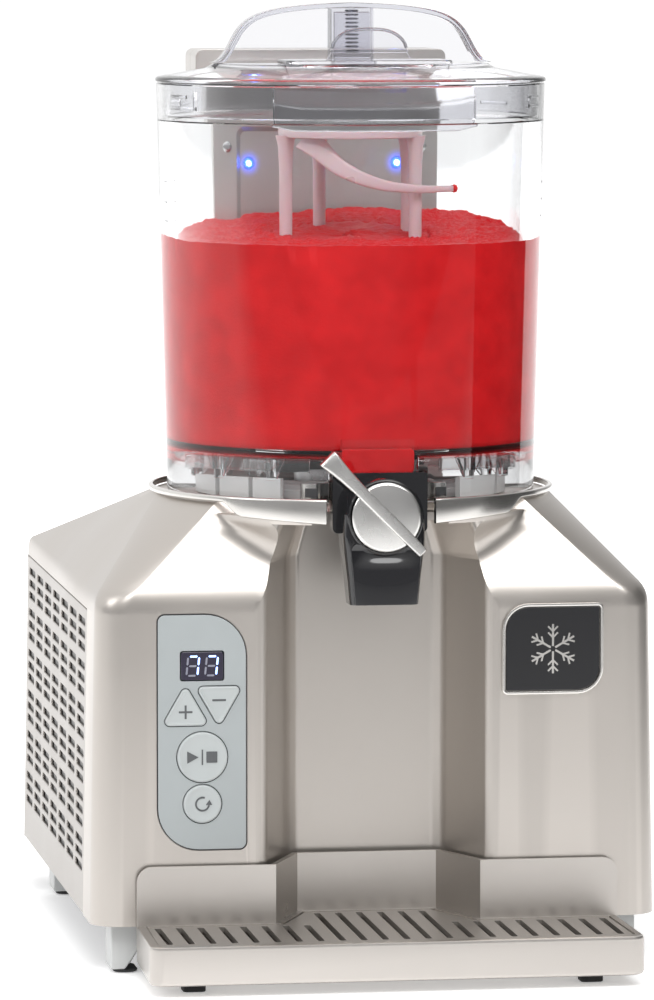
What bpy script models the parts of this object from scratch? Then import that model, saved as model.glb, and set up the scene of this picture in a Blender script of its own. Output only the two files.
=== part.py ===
"""A counter-top slushie machine: housing, light tower, clear tank, lid, tap, drip tray and its works.

Metres, +Z up, +Y to the back. The shapes are laid out about the tank's axis (x = y = 0), standing on
z = 0, and at the end everything moves by -CENTRE_Y, so that the origin is the middle of the footprint.
"""

import math

import bmesh
import bpy
from mathutils import Vector

MM = 0.001
GAP = 0.35 * MM

# Housing
BODY_HALF = 150 * MM
BODY_DRAFT = 3 * MM
BODY_FRONT = -91.4 * MM
BODY_REAR = 264 * MM
BODY_CORNER = 16.5 * MM
BODY_BOTTOM = 25.7 * MM
FOLD_Z = 196.8 * MM
DECK_Z = 245.4 * MM
DECK_RADIUS = 105.2 * MM
BOWL = ((78.3, 197), (97.5, 221), (107.5, 236), (107.8, 239.6), (100, 239.6))
WALL = 2.6 * MM
SIDE_FRONT_ANGLE = 184
APEX_ANGLE = 219.3
SIDE_REAR_ANGLE = 170
BACK_ANGLE = 97
PANEL_TOP = 187.5 * MM
PANEL_FRONT = -44.5 * MM
PANEL_REAR = 248 * MM
PANEL_THICKNESS = 2.4 * MM
VENT_COLUMNS = 7
VENT_GROUPS = 6
VENT_ROWS = 3
VENT_FIRST = (-38 * MM, 46.8 * MM)
VENT_PITCH = (41 * MM, 23.3 * MM)
VENT_ROW_PITCH = 6.8 * MM
VENT_SIZE = (33 * MM, 4.9 * MM)
REAR_HALF = 125 * MM
REAR_LOW = 40 * MM
REAR_HIGH = 180 * MM
REAR_THICKNESS = 2.4 * MM
INLET_X = 92 * MM
INLET_Z = 62 * MM
INLET_DEPTH = 20 * MM
COLLAR_BAND = 2.6 * MM
COLLAR_TOP = 249 * MM
COLLAR_LOW = 240.4 * MM
COLLAR_DIP = 8 * MM
COLLAR_DEEP_TO = 40
COLLAR_SHALLOW_FROM = 47.5
TAP_ANGLE = 270
PAN_BOTTOM = 26.2 * MM
PAN_THICKNESS = 3 * MM
LEG_OUTLINE = ((124, 1.85), (138.5, 1.85), (139.5, 25.8), (116, 25.8))
LEG_DEPTH = 24 * MM
LEG_ENDS = ((-82 * MM, "front"), (190 * MM, "rear"))
PAD_HEIGHT = 1.5 * MM

# Cup bay
BAY_HALF = 59.2 * MM
BAY_BACK_HALF = 42 * MM
BAY_BACK = -52 * MM
BAY_TOP_SHARE = 0.84
BAY_STRAIGHT = 214 * MM
BAY_CEILING = 235.5 * MM
NOTCH_HALF = 36 * MM

# Drip tray
TRAY_FRONT = -166 * MM
TRAY_HALF = 129 * MM
TRAY_REAR_HALF = 127.4 * MM
TRAY_REAR = -93.4 * MM
TRAY_TOP = 26.6 * MM
TRAY_BOTTOM = 5.8 * MM
TRAY_BACK_HALF = 39.5 * MM
TRAY_BACK = -54.4 * MM
SPLASH_TOP = 57.5 * MM
SPLASH_THICKNESS = 2.2 * MM
GRILLE_SLOTS = 22
GRILLE_PITCH = 11.2 * MM
GRILLE_SLOT = 3.5 * MM

# Tank
TANK_BOTTOM = 245.9 * MM
TANK_TOP = 459.5 * MM
TANK_BOTTOM_RADIUS = 98 * MM
TANK_TOP_RADIUS = 103.4 * MM
TANK_WALL = 2.4 * MM
FLOOR_Z = 270 * MM
SUMP_LOW = 259.5 * MM
PORT_Z = 266.2 * MM
FLOOR_THICKNESS = 3 * MM
VESSEL_TOP = 443 * MM
VESSEL_BOTTOM_RADIUS = 91 * MM
VESSEL_TOP_RADIUS = 96.5 * MM
VESSEL_WALL = 2.2 * MM
SLUSH_TOP = 384.5 * MM
SWEEP_RADIUS = 42 * MM

# Lid
LID_RADIUS = 104 * MM
LID_FLANGE_Z = 462.7 * MM
LID_TOP_Z = 473 * MM
LID_TOP_RADIUS = 74 * MM
HANDLE_TOP_Z = 505 * MM
HANDLE_HALF = 75 * MM
HATCH_HINGE_Y = -30 * MM

# Tap
TAP_Z = 241 * MM
TAP_FLANGE_HALF = 26.5 * MM
TAP_BARREL_RADIUS = 19.8 * MM
KNOB_RADIUS = 18 * MM
SPOUT_BOTTOM = 195 * MM

# Light tower
TOWER_HALF = 69.2 * MM
TOWER_FRONT = 104.8 * MM
TOWER_SPLIT = 127 * MM
TOWER_REAR = 148 * MM
TOWER_TOP = 478 * MM
TOWER_WALL = 2.4 * MM
TOWER_SUNK = 3 * MM
FACE_HALF = 52.4 * MM
FACE_TOP = 435 * MM
FACE_SLOPE = 2.4 * MM
LENS_X = 44.5 * MM
LENS_Z = 415 * MM
SCREW_X = 59 * MM
SCREW_Z = 424 * MM

# Works
DRUM_RADIUS = 30 * MM
DRUM_TOP = 362 * MM
SHAFT_RADIUS = 4 * MM
POST_RADIUS = 36.5 * MM
POST_ANGLES = (190, 109, 333, 23)
DASHER_TOP = 438 * MM
FAN_CENTRE = (108 * MM, 95 * MM, 112 * MM)
FAN_RADIUS = 52 * MM
FAN_BLADES = 7

# Controls, on the front of the left cheek
PANEL_X = -92.4 * MM
DISPLAY_Z = 162 * MM
ARROW_Z = 141 * MM
ARROW_OFFSET = 8.8 * MM
RUN_Z = 114.2 * MM
RUN_RADIUS = 13.2 * MM
MODE_Z = 89.6 * MM
MODE_RADIUS = 10 * MM
BUTTON_FRONT = -92.9 * MM
BUTTON_BACK = -85.5 * MM

CENTRE_Y = (BODY_REAR + TRAY_FRONT) / 2
ROUND = 40


# ---------------------------------------------------------------- scene and object helpers

def clear_scene():
    for obj in list(bpy.data.objects):
        bpy.data.objects.remove(obj, do_unlink=True)


def material(name, colour, roughness, metallic=0.0, alpha=1.0):
    made = bpy.data.materials.get(name)
    if made:
        return made
    made = bpy.data.materials.new(name)
    made.use_nodes = True
    shader = made.node_tree.nodes["Principled BSDF"]
    shader.inputs["Base Color"].default_value = (*colour, 1.0)
    shader.inputs["Roughness"].default_value = roughness
    shader.inputs["Metallic"].default_value = metallic
    shader.inputs["Alpha"].default_value = alpha
    made.diffuse_color = (*colour, alpha)
    return made


def satin_metal():
    return material("satin_champagne", (0.52, 0.49, 0.46), 0.35, 0.85)


def bright_metal():
    return material("bright_silver", (0.62, 0.62, 0.61), 0.22, 1.0)


def dark_steel():
    return material("dark_steel", (0.16, 0.16, 0.17), 0.4, 0.9)


def copper():
    return material("copper", (0.72, 0.35, 0.22), 0.3, 1.0)


def clear_plastic():
    return material("clear_plastic", (0.9, 0.92, 0.94), 0.05, 0.0, 0.25)


def gloss_black():
    return material("gloss_black", (0.012, 0.012, 0.014), 0.1)


def pale_plastic():
    return material("pale_plastic", (0.62, 0.63, 0.62), 0.4)


def rubber():
    return material("rubber", (0.03, 0.03, 0.03), 0.8)


def finish(obj):
    obj.data.shade_smooth()
    obj.data.set_sharp_from_angle(angle=math.radians(35))


def anchor(name, point, parent=None):
    """An empty on a joint's axis, for the pieces of one moving body."""
    empty = bpy.data.objects.new(name, None)
    bpy.context.scene.collection.objects.link(empty)
    empty.empty_display_size = 0.02
    place(empty, point, parent)
    return empty


def place(obj, point, parent):
    obj["at"] = point
    obj.parent = parent
    base = Vector(parent["at"]) if parent else Vector((0, 0, 0))
    obj.location = Vector(point) - base


def solid(name, mesh, look, parent=None, origin=None):
    """An object from a bmesh in world coordinates, with its origin at the given point."""
    bmesh.ops.recalc_face_normals(mesh, faces=mesh.faces)
    point = origin or (tuple(parent["at"]) if parent else (0, 0, 0))
    bmesh.ops.translate(mesh, verts=mesh.verts, vec=-Vector(point))
    data = bpy.data.meshes.new(name)
    mesh.to_mesh(data)
    mesh.free()
    obj = bpy.data.objects.new(name, data)
    bpy.context.scene.collection.objects.link(obj)
    place(obj, point, parent)
    data.materials.append(look)
    finish(obj)
    return obj


def combine(obj, mesh, operation="DIFFERENCE"):
    """Cuts a hidden helper made from the bmesh out of the object, or joins it on."""
    kind = "cut" if operation == "DIFFERENCE" else "add"
    helper = solid(f"{kind}_{obj.name}_{len(obj.modifiers)}", mesh, obj.data.materials[0])
    return combine_helper(obj, helper, operation)


def combine_helper(obj, helper, operation):
    helper.hide_render = True
    helper.display_type = "WIRE"
    modifier = obj.modifiers.new(helper.name, "BOOLEAN")
    modifier.operation = operation
    modifier.object = helper
    modifier.solver = "EXACT"
    return obj


# ---------------------------------------------------------------- shape helpers

def loft(loops, mesh=None):
    """A closed solid through loops of equal length, capped at both ends."""
    mesh = mesh or bmesh.new()
    rings = [[mesh.verts.new(point) for point in loop] for loop in loops]
    count = len(rings[0])
    for low, high in zip(rings, rings[1:]):
        for i in range(count):
            j = (i + 1) % count
            mesh.faces.new((low[i], low[j], high[j], high[i]))
    mesh.faces.new(rings[0][::-1])
    mesh.faces.new(rings[-1])
    return mesh


def prism(outline, z0, z1, mesh=None):
    return loft([[(x, y, z) for x, y in outline] for z in (z0, z1)], mesh)


def slab(outline, y0, y1, mesh=None):
    """An outline of x and z, extruded along Y."""
    return loft([[(x, y, z) for x, z in outline] for y in (y0, y1)], mesh)


def box(x0, x1, y0, y1, z0, z1, mesh=None):
    return prism(((x0, y0), (x1, y0), (x1, y1), (x0, y1)), z0, z1, mesh)


def about(axis, centre, radius, angle, along):
    """The point at a radius and an angle about an axis through the centre."""
    u, v = radius * math.cos(angle), radius * math.sin(angle)
    x, y, z = centre
    if axis == "X":
        return (x + along, y + u, z + v)
    if axis == "Y":
        return (x + u, y + along, z + v)
    return (x + u, y + v, z + along)


def turned(profile, centre=(0, 0, 0), axis="Z", steps=ROUND, mesh=None):
    """Turns a closed profile of (radius, along) points about an axis."""
    mesh = mesh or bmesh.new()
    rings = []
    for radius, along in profile:
        if radius == 0:
            rings.append([mesh.verts.new(about(axis, centre, 0, 0, along))] * steps)
            continue
        angles = [2 * math.pi * i / steps for i in range(steps)]
        rings.append([mesh.verts.new(about(axis, centre, radius, a, along)) for a in angles])
    for first, second in zip(rings, rings[1:] + rings[:1]):
        for i in range(steps):
            j = (i + 1) % steps
            corners = list(dict.fromkeys((first[i], first[j], second[j], second[i])))
            if len(corners) > 2:
                mesh.faces.new(corners)
    return mesh


def rod(radius, low, high, centre=(0, 0, 0), axis="Z", steps=ROUND, mesh=None):
    return turned(((0, low), (radius, low), (radius, high), (0, high)), centre, axis, steps, mesh)


def corner_arc(x, y, radius, start, steps=4):
    """A quarter of a circle about a centre, from the start angle on."""
    angles = [math.radians(start + 90 * i / steps) for i in range(steps + 1)]
    return [(x + radius * math.cos(a), y + radius * math.sin(a)) for a in angles]


def rounded(x0, x1, y0, y1, radii, steps=4):
    """A rectangle with a radius for each corner: low-low, high-low, high-high, low-high."""
    a, b, c, d = radii
    return (
        corner_arc(x0 + a, y0 + a, a, 180, steps)
        + corner_arc(x1 - b, y0 + b, b, 270, steps)
        + corner_arc(x1 - c, y1 - c, c, 0, steps)
        + corner_arc(x0 + d, y1 - d, d, 90, steps)
    )


def arc_band(inner, outer, start, end, bottom, top, steps):
    """A curved band about the tank's axis. bottom is a function of the share of the way along."""
    loops = []
    for i in range(steps + 1):
        share = i / steps
        angle = math.radians(start + (end - start) * share)
        low = bottom(share)
        loops.append([
            about("Z", (0, 0, 0), inner, angle, low),
            about("Z", (0, 0, 0), outer, angle, low),
            about("Z", (0, 0, 0), outer, angle, top),
            about("Z", (0, 0, 0), inner, angle, top),
        ])
    return loft(loops)


def tube(name, points, radius, look, parent=None):
    """A round rod along a smooth curve through the points."""
    curve = bpy.data.curves.new(name, "CURVE")
    curve.dimensions = "3D"
    curve.bevel_depth = radius
    curve.bevel_resolution = 2
    curve.use_fill_caps = True
    base = Vector(parent["at"]) if parent else Vector((0, 0, 0))
    smooth = smooth_path(points)
    spline = curve.splines.new("POLY")
    spline.points.add(len(smooth) - 1)
    for target, point in zip(spline.points, smooth):
        target.co = (*(Vector(point) - base), 1)
    obj = bpy.data.objects.new(name, curve)
    bpy.context.scene.collection.objects.link(obj)
    place(obj, tuple(base), parent)
    curve.materials.append(look)
    return obj


def smooth_path(points, steps=5):
    """Catmull-Rom points through the given ones."""
    points = [Vector(p) for p in points]
    padded = [2 * points[0] - points[1], *points, 2 * points[-1] - points[-2]]
    path = []
    for a, b, c, d in zip(padded, padded[1:], padded[2:], padded[3:]):
        for i in range(steps):
            t = i / steps
            bend = (2 * a - 5 * b + 4 * c - d) * t ** 2 + (3 * b - a - 3 * c + d) * t ** 3
            path.append(0.5 * (2 * b + (c - a) * t + bend))
    return path + [points[-1]]


# ---------------------------------------------------------------- housing

def body_outline(half, inset):
    """The housing in plan: points with the collar angle that each leads up to, or None on the front."""
    radius = BODY_CORNER - inset
    x = half - BODY_CORNER
    front = BODY_FRONT + BODY_CORNER
    rear = BODY_REAR - BODY_CORNER
    corners = (
        (-x, front, 180, SIDE_FRONT_ANGLE, APEX_ANGLE),
        (x, front, 270, 540 - APEX_ANGLE, 540 - SIDE_FRONT_ANGLE),
        (x, rear, 0, 540 - SIDE_REAR_ANGLE, 540 - BACK_ANGLE),
        (-x, rear, 90, 360 + BACK_ANGLE, 360 + SIDE_REAR_ANGLE),
    )
    steps = 5
    rounds = []
    for cx, cy, start, low, high in corners:
        arc = corner_arc(cx, cy, radius, start, steps)
        rounds.append([(*p, low + (high - low) * i / steps) for i, p in enumerate(arc)])
    points = list(rounds[0])
    points += between(rounds[0][-1], rounds[1][0], 8, None)
    points += rounds[1] + between(rounds[1][-1], rounds[2][0], 3, 0)
    points += rounds[2] + between(rounds[2][-1], rounds[3][0], 3, 0)
    return points + rounds[3] + between(rounds[3][-1], rounds[0][0], 3, 360)


def between(start, end, count, turn):
    """Points between two outline points. turn is added to the end's angle, or is None for no angle."""
    made = []
    for i in range(1, count):
        t = i / count
        angle = None if turn is None else start[2] + (end[2] + turn - start[2]) * t
        made.append((start[0] + (end[0] - start[0]) * t, start[1] + (end[1] - start[1]) * t, angle))
    return made


def deck_outline(plan, radius):
    """Where the plan's points meet the deck: on its circle, or on the chord along the front."""
    ends = [about("Z", (0, 0, 0), radius, math.radians(a), 0) for a in (APEX_ANGLE, 540 - APEX_ANGLE)]
    flat = [i for i, point in enumerate(plan) if point[2] is None]
    made = []
    for i, (_, _, angle) in enumerate(plan):
        if angle is None:
            t = (i - flat[0] + 1) / (len(flat) + 1)
            made.append((ends[0][0] + (ends[1][0] - ends[0][0]) * t, ends[0][1]))
        else:
            x, y, _ = about("Z", (0, 0, 0), radius, math.radians(angle), 0)
            made.append((x, y))
    return made


def body_solid(inset, bottom):
    """The housing's walls and hipped roof, or with an inset the space inside them."""
    low = body_outline(BODY_HALF, inset)
    high = body_outline(BODY_HALF - BODY_DRAFT, inset)
    mesh = loft([
        [(x, y, bottom) for x, y, _ in low],
        [(x, y, FOLD_Z - inset / 2) for x, y, _ in high],
        [(x, y, DECK_Z - inset) for x, y in deck_outline(high, DECK_RADIUS - inset)],
    ])
    bmesh.ops.triangulate(mesh, faces=mesh.faces)
    return mesh


def bowl_solid(inset):
    """The flared bowl under the collar, which overhangs the cup bay."""
    sides = [(radius * MM - inset, z * MM - inset / 2) for radius, z in BOWL]
    profile = [(0, sides[0][1])] + sides + [(0, sides[-1][1])]
    return turned(profile, steps=56)


def bay_solid(wall):
    """The cup bay, or with a wall the block round it. It narrows under its ceiling."""
    reach = 60 * MM
    back = 6 * MM
    outline = (
        (-BAY_HALF - wall, BODY_FRONT - reach),
        (BAY_HALF + wall, BODY_FRONT - reach),
        (BAY_HALF + wall, BODY_FRONT),
        (BAY_BACK_HALF + wall, BAY_BACK + wall / 2),
        (BAY_BACK_HALF - back + wall, BAY_BACK + 4 * MM + wall),
        (back - BAY_BACK_HALF - wall, BAY_BACK + 4 * MM + wall),
        (-BAY_BACK_HALF - wall, BAY_BACK + wall / 2),
        (-BAY_HALF - wall, BODY_FRONT),
    )
    levels = ((-10 * MM, 1.0), (BAY_STRAIGHT, 1.0), (BAY_CEILING + wall, BAY_TOP_SHARE))
    return loft([[(x * share, y, z) for x, y in outline] for z, share in levels])


def control_holes(margin, y0, y1):
    """Cutters for the display and the four buttons."""
    mesh = bmesh.new()
    slab(display_outline(margin), y0, y1, mesh)
    slab(arrow_outline(-1, margin), y0, y1, mesh)
    slab(arrow_outline(1, margin), y0, y1, mesh)
    for z, radius in ((RUN_Z, RUN_RADIUS), (MODE_Z, MODE_RADIUS)):
        rod(radius + margin, y0, y1, (PANEL_X, 0, z), "Y", 28, mesh)
    return mesh


def housing_shell():
    shell = solid("housing_shell", body_solid(0, BODY_BOTTOM), satin_metal())
    combine(shell, bowl_solid(0), "UNION")
    room = solid("cut_room", body_solid(WALL, BODY_BOTTOM - 10 * MM), satin_metal())
    combine(room, bowl_solid(WALL), "UNION")
    combine(room, bay_solid(WALL))
    combine_helper(shell, room, "DIFFERENCE")
    combine(shell, tower_pad(), "UNION")
    combine(shell, bay_solid(0))
    combine(shell, housing_openings())
    deep = 14 * MM
    notch = box(-NOTCH_HALF, NOTCH_HALF, -130 * MM, -80 * MM, SPOUT_BOTTOM, DECK_Z + deep)
    combine(shell, notch)
    combine(shell, slab(panel_outline(0.4 * MM), BODY_FRONT - deep, BODY_FRONT + 1.4 * MM))
    combine(shell, control_holes(0.5 * MM, BODY_FRONT - deep, BODY_FRONT + deep))


def housing_openings():
    """Cutters for the side panels, the rear panel and the drum."""
    deep = 14 * MM
    mesh = bmesh.new()
    for side in (-1, 1):
        x0, x1 = sorted((side * (BODY_HALF - deep), side * (BODY_HALF + deep)))
        box(x0, x1, PANEL_FRONT, PANEL_REAR, BODY_BOTTOM - deep, PANEL_TOP + GAP, mesh)
    box(-REAR_HALF, REAR_HALF, BODY_REAR - deep, BODY_REAR + deep, REAR_LOW, REAR_HIGH, mesh)
    return rod(33 * MM, DECK_Z - deep, DECK_Z + deep, mesh=mesh)


def tower_pad():
    """The block on the roof that the light tower stands on."""
    foot = 219 * MM
    return box(
        -TOWER_HALF, TOWER_HALF, TOWER_FRONT - 0.6 * MM, TOWER_REAR, foot, DECK_Z - 0.2 * MM
    )


def side_panel(name, side):
    """A vented side plate, leaning in with the housing's draft."""
    low, high = BODY_BOTTOM + GAP, PANEL_TOP - GAP
    lean = BODY_DRAFT / (FOLD_Z - BODY_BOTTOM)
    y0, y1 = PANEL_FRONT + GAP, PANEL_REAR - GAP
    loops = []
    for z in (low, high):
        outer = BODY_HALF - (z - BODY_BOTTOM) * lean
        inner = outer - PANEL_THICKNESS
        corners = ((inner, y0), (outer, y0), (outer, y1), (inner, y1))
        loops.append([(side * x, y, z) for x, y in corners])
    panel = solid(name, loft(loops), satin_metal())
    vents = bmesh.new()
    x0, x1 = sorted((side * (BODY_HALF - 10 * MM), side * (BODY_HALF + 6 * MM)))
    for column in range(VENT_COLUMNS):
        y = VENT_FIRST[0] + VENT_PITCH[0] * column
        for slot in range(VENT_GROUPS * VENT_ROWS):
            group, row = divmod(slot, VENT_ROWS)
            z = VENT_FIRST[1] + VENT_PITCH[1] * group + VENT_ROW_PITCH * row
            box(x0, x1, y, y + VENT_SIZE[0], z, z + VENT_SIZE[1], vents)
    combine(panel, vents)


def rear_panel():
    front = BODY_REAR - REAR_THICKNESS
    plate = box(
        -REAR_HALF + GAP, REAR_HALF - GAP, front, BODY_REAR, REAR_LOW + GAP, REAR_HIGH - GAP
    )
    panel = solid("rear_panel", plate, satin_metal())
    holes = bmesh.new()
    y0, y1 = front - 8 * MM, BODY_REAR + 8 * MM
    slot_half, slot_height, pitch = 30 * MM, 4.5 * MM, 9.5 * MM
    for row in range(9):
        z = 90 * MM + pitch * row
        for x in (-66 * MM, 0, 66 * MM):
            box(x - slot_half, x + slot_half, y0, y1, z, z + slot_height, holes)
    half_x, half_z = 14 * MM, 10.5 * MM
    box(INLET_X - half_x, INLET_X + half_x, y0, y1, INLET_Z - half_z, INLET_Z + half_z, holes)
    combine(panel, holes)


def inlet_outline(half_x, half_z, radius):
    return rounded(
        INLET_X - half_x, INLET_X + half_x, INLET_Z - half_z, INLET_Z + half_z, (radius,) * 4, 2
    )


def power_inlet():
    """A three-pin appliance inlet, flush with the rear panel."""
    back = BODY_REAR - 0.1 * MM
    front = back - INLET_DEPTH
    body = slab(inlet_outline(13.6 * MM, 10.1 * MM, 2 * MM), front, back)
    inlet = solid("power_inlet", body, gloss_black())
    well_front = front + 4 * MM
    combine(inlet, slab(inlet_outline(11.6 * MM, 8.1 * MM, 1.5 * MM), well_front, back + 4 * MM))
    pins = bmesh.new()
    half_x, half_z = 1 * MM, 2 * MM
    for x, z in ((-7, -1.5), (0, 2.5), (7, -1.5)):
        px, pz = INLET_X + x * MM, INLET_Z + z * MM
        box(px - half_x, px + half_x, front + 2 * MM, back - 3 * MM, pz - half_z, pz + half_z, pins)
    combine(inlet, pins, "UNION")


def collar(name, start, end):
    """One side of the bright collar round the tank's foot. It is deep along the front and dips at the tap."""
    steps = 36

    def bottom(share):
        off_front = abs(start - TAP_ANGLE) + abs(end - start) * share
        shallow = (off_front - COLLAR_DEEP_TO) / (COLLAR_SHALLOW_FROM - COLLAR_DEEP_TO)
        rise = (DECK_Z + GAP - COLLAR_LOW) * min(max(shallow, 0.0), 1.0)
        dip = max(0.0, 1 - share * steps)
        return COLLAR_LOW + rise - COLLAR_DIP * dip

    inner = DECK_RADIUS + GAP
    band = arc_band(inner, inner + COLLAR_BAND, start, end, bottom, COLLAR_TOP, steps)
    solid(name, band, bright_metal())


def base_pan():
    inset = WALL + 0.6 * MM
    outline = [(x, y) for x, y, _ in body_outline(BODY_HALF, inset)]
    top = PAN_BOTTOM + PAN_THICKNESS
    pan = solid("base_pan", prism(outline, PAN_BOTTOM, top), dark_steel())
    combine(pan, box(-64 * MM, 64 * MM, -110 * MM, -44 * MM, 0, 60 * MM))
    vents = bmesh.new()
    slot, pitch, first = 8 * MM, 22 * MM, 20 * MM
    for i in range(6):
        y = first + pitch * i
        box(-26 * MM, 60 * MM, y, y + slot, 0, 60 * MM, vents)
    combine(pan, vents)


def feet():
    for side, side_name in ((-1, "left"), (1, "right")):
        for y, end_name in LEG_ENDS:
            outline = [(side * x * MM, z * MM) for x, z in LEG_OUTLINE]
            leg = slab(outline, y, y + LEG_DEPTH)
            solid(f"foot_{end_name}_{side_name}", leg, pale_plastic())
            x0, x1 = sorted((side * 125 * MM, side * 138 * MM))
            edge = 0.5 * MM
            plan = rounded(x0, x1, y + edge, y + LEG_DEPTH - edge, (3 * MM,) * 4, 3)
            solid(f"pad_{end_name}_{side_name}", prism(plan, 0, PAD_HEIGHT), rubber())


# ---------------------------------------------------------------- light tower

def tower_face():
    """The cutter for the sunk panel on the tower's front, with sloping edges."""
    low = DECK_Z - 5 * MM
    half, top = FACE_HALF, FACE_TOP
    shallow = [(-half, low), (half, low), (half, top), (-half, top)]
    half, top = half - FACE_SLOPE, top - FACE_SLOPE
    deep = [(-half, low), (half, low), (half, top), (-half, top)]
    return loft([
        [(x, TOWER_FRONT - 2 * MM, z) for x, z in shallow],
        [(x, TOWER_FRONT, z) for x, z in shallow],
        [(x, TOWER_FRONT + TOWER_SUNK, z) for x, z in deep],
    ])


def tower():
    bottom = DECK_Z + GAP
    wall = TOWER_WALL
    cover = box(-TOWER_HALF, TOWER_HALF, TOWER_FRONT, TOWER_SPLIT, bottom, TOWER_TOP)
    front = solid("tower_front", cover, satin_metal())
    half = TOWER_HALF - wall
    room_front = TOWER_FRONT + TOWER_SUNK + wall
    room = (bottom + wall, TOWER_TOP - wall)
    combine(front, box(-half, half, room_front, TOWER_SPLIT + 9 * MM, *room))
    combine(front, tower_face())
    holes = bmesh.new()
    y0, y1 = TOWER_FRONT - 5 * MM, TOWER_FRONT + 15 * MM
    for side in (-1, 1):
        rod(3.5 * MM, y0, y1, (side * LENS_X, 0, LENS_Z), "Y", 20, holes)
        rod(1.9 * MM, y0, y1, (side * SCREW_X, 0, SCREW_Z), "Y", 16, holes)
    combine(front, holes)
    cover = box(-TOWER_HALF, TOWER_HALF, TOWER_SPLIT + GAP, TOWER_REAR, bottom, TOWER_TOP)
    rear = solid("tower_rear", cover, satin_metal())
    combine(rear, box(-half, half, TOWER_SPLIT - 9 * MM, TOWER_REAR - wall, *room))
    for side, side_name in ((-1, "left"), (1, "right")):
        lens = turned(
            ((0, 106.2 * MM), (1.8 * MM, 106.5 * MM), (3.1 * MM, 107.6 * MM),
             (3.1 * MM, 113 * MM), (0, 113 * MM)),
            (side * LENS_X, 0, LENS_Z), "Y", 20,
        )
        solid(f"light_lens_{side_name}", lens, material("blue_lens", (0.2, 0.35, 1.0), 0.1))
        screw = turned(
            ((0, 103.1 * MM), (2 * MM, 103.3 * MM), (3.2 * MM, 104.4 * MM), (1.5 * MM, 104.4 * MM),
             (1.5 * MM, 114 * MM), (0, 114 * MM)),
            (side * SCREW_X, 0, SCREW_Z), "Y", 16,
        )
        solid(f"tower_screw_{side_name}", screw, dark_steel())


# ---------------------------------------------------------------- controls and badge

def panel_outline(margin):
    big, small = 22 * MM, 6 * MM
    return rounded(
        -116 * MM - margin, -69 * MM + margin, 65.3 * MM - margin, 189.1 * MM + margin,
        (big, small, big, small),
    )


def display_outline(margin):
    half_x, half_z = 11.2 * MM + margin, 7.5 * MM + margin
    return rounded(
        PANEL_X - half_x, PANEL_X + half_x, DISPLAY_Z - half_z, DISPLAY_Z + half_z, (1 * MM,) * 4, 2
    )


def arrow_outline(way, margin):
    """A triangle with rounded corners: -1 is the left one, pointing up, and 1 the right one, down."""
    centre_x = PANEL_X + way * ARROW_OFFSET
    centre_z = ARROW_Z + way * 3 * MM
    spread = 9.6 * MM
    radius = 2.4 * MM + margin
    points = []
    for corner in range(3):
        heading = math.radians(-90 * way + 120 * corner)
        x = centre_x + spread * math.cos(heading)
        z = centre_z + spread * math.sin(heading)
        for i in range(5):
            angle = heading + math.radians(-60 + 30 * i)
            points.append((x + radius * math.cos(angle), z + radius * math.sin(angle)))
    return points


def controls():
    panel = solid(
        "control_panel",
        slab(panel_outline(0), BODY_FRONT - 0.5 * MM, BODY_FRONT + 1.05 * MM),
        material("panel_grey", (0.55, 0.57, 0.57), 0.35, 0.3),
    )
    combine(panel, control_holes(0.35 * MM, BODY_FRONT - 9 * MM, BODY_FRONT + 9 * MM))
    solid(
        "display_module",
        slab(display_outline(0), BODY_FRONT - 0.4 * MM, BODY_FRONT + 8 * MM),
        material("display_glass", (0.02, 0.02, 0.05), 0.08),
    )
    look = material("button_grey", (0.6, 0.62, 0.62), 0.35, 0.2)
    for name, way in (("button_up", -1), ("button_down", 1)):
        centre = (PANEL_X + way * ARROW_OFFSET, BUTTON_FRONT, ARROW_Z)
        solid(name, slab(arrow_outline(way, 0), BUTTON_FRONT, BUTTON_BACK), look, None, centre)
    for name, z, radius in (("button_run", RUN_Z, RUN_RADIUS), ("button_mode", MODE_Z, MODE_RADIUS)):
        cap = turned(
            ((0, BUTTON_FRONT + 0.5 * MM), (radius - 2 * MM, BUTTON_FRONT + 0.4 * MM),
             (radius - 0.6 * MM, BUTTON_FRONT), (radius, BUTTON_FRONT + 0.6 * MM),
             (radius, BUTTON_BACK), (0, BUTTON_BACK)),
            (PANEL_X, 0, z), "Y", 28,
        )
        solid(name, cap, look, None, (PANEL_X, BUTTON_FRONT, z))
    solid(
        "control_board",
        box(-112 * MM, -73 * MM, -82.8 * MM, -81.2 * MM, 76 * MM, 178 * MM),
        material("board_green", (0.03, 0.16, 0.08), 0.5),
    )


def badge():
    front = BODY_FRONT - GAP
    x0, x1, z0, z1 = 66 * MM, 120 * MM, 144 * MM, 192 * MM
    radii = (3 * MM, 14 * MM, 3 * MM, 14 * MM)
    frame = solid(
        "badge_frame", slab(rounded(x0, x1, z0, z1, radii), front - 1.9 * MM, front), bright_metal()
    )
    rim = 1.7 * MM
    inner = [max(r - rim, 1 * MM) for r in radii]
    window = rounded(x0 + rim, x1 - rim, z0 + rim, z1 - rim, inner)
    combine(frame, slab(window, front - 9 * MM, front + 9 * MM))
    edge = rim + GAP
    inner = [max(r - edge, 0.8 * MM) for r in radii]
    plate = rounded(x0 + edge, x1 - edge, z0 + edge, z1 - edge, inner)
    solid("badge_plate", slab(plate, front - 1.1 * MM, front), gloss_black())


# ---------------------------------------------------------------- drip tray

def tray_outline(inset):
    slant = 1.08 * inset
    return (
        (-TRAY_HALF + inset, TRAY_FRONT + inset), (TRAY_HALF - inset, TRAY_FRONT + inset),
        (TRAY_REAR_HALF - inset, TRAY_REAR - inset), (56.5 * MM - slant, TRAY_REAR - inset),
        (TRAY_BACK_HALF - slant, TRAY_BACK - inset), (slant - TRAY_BACK_HALF, TRAY_BACK - inset),
        (slant - 56.5 * MM, TRAY_REAR - inset), (inset - TRAY_REAR_HALF, TRAY_REAR - inset),
    )


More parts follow.
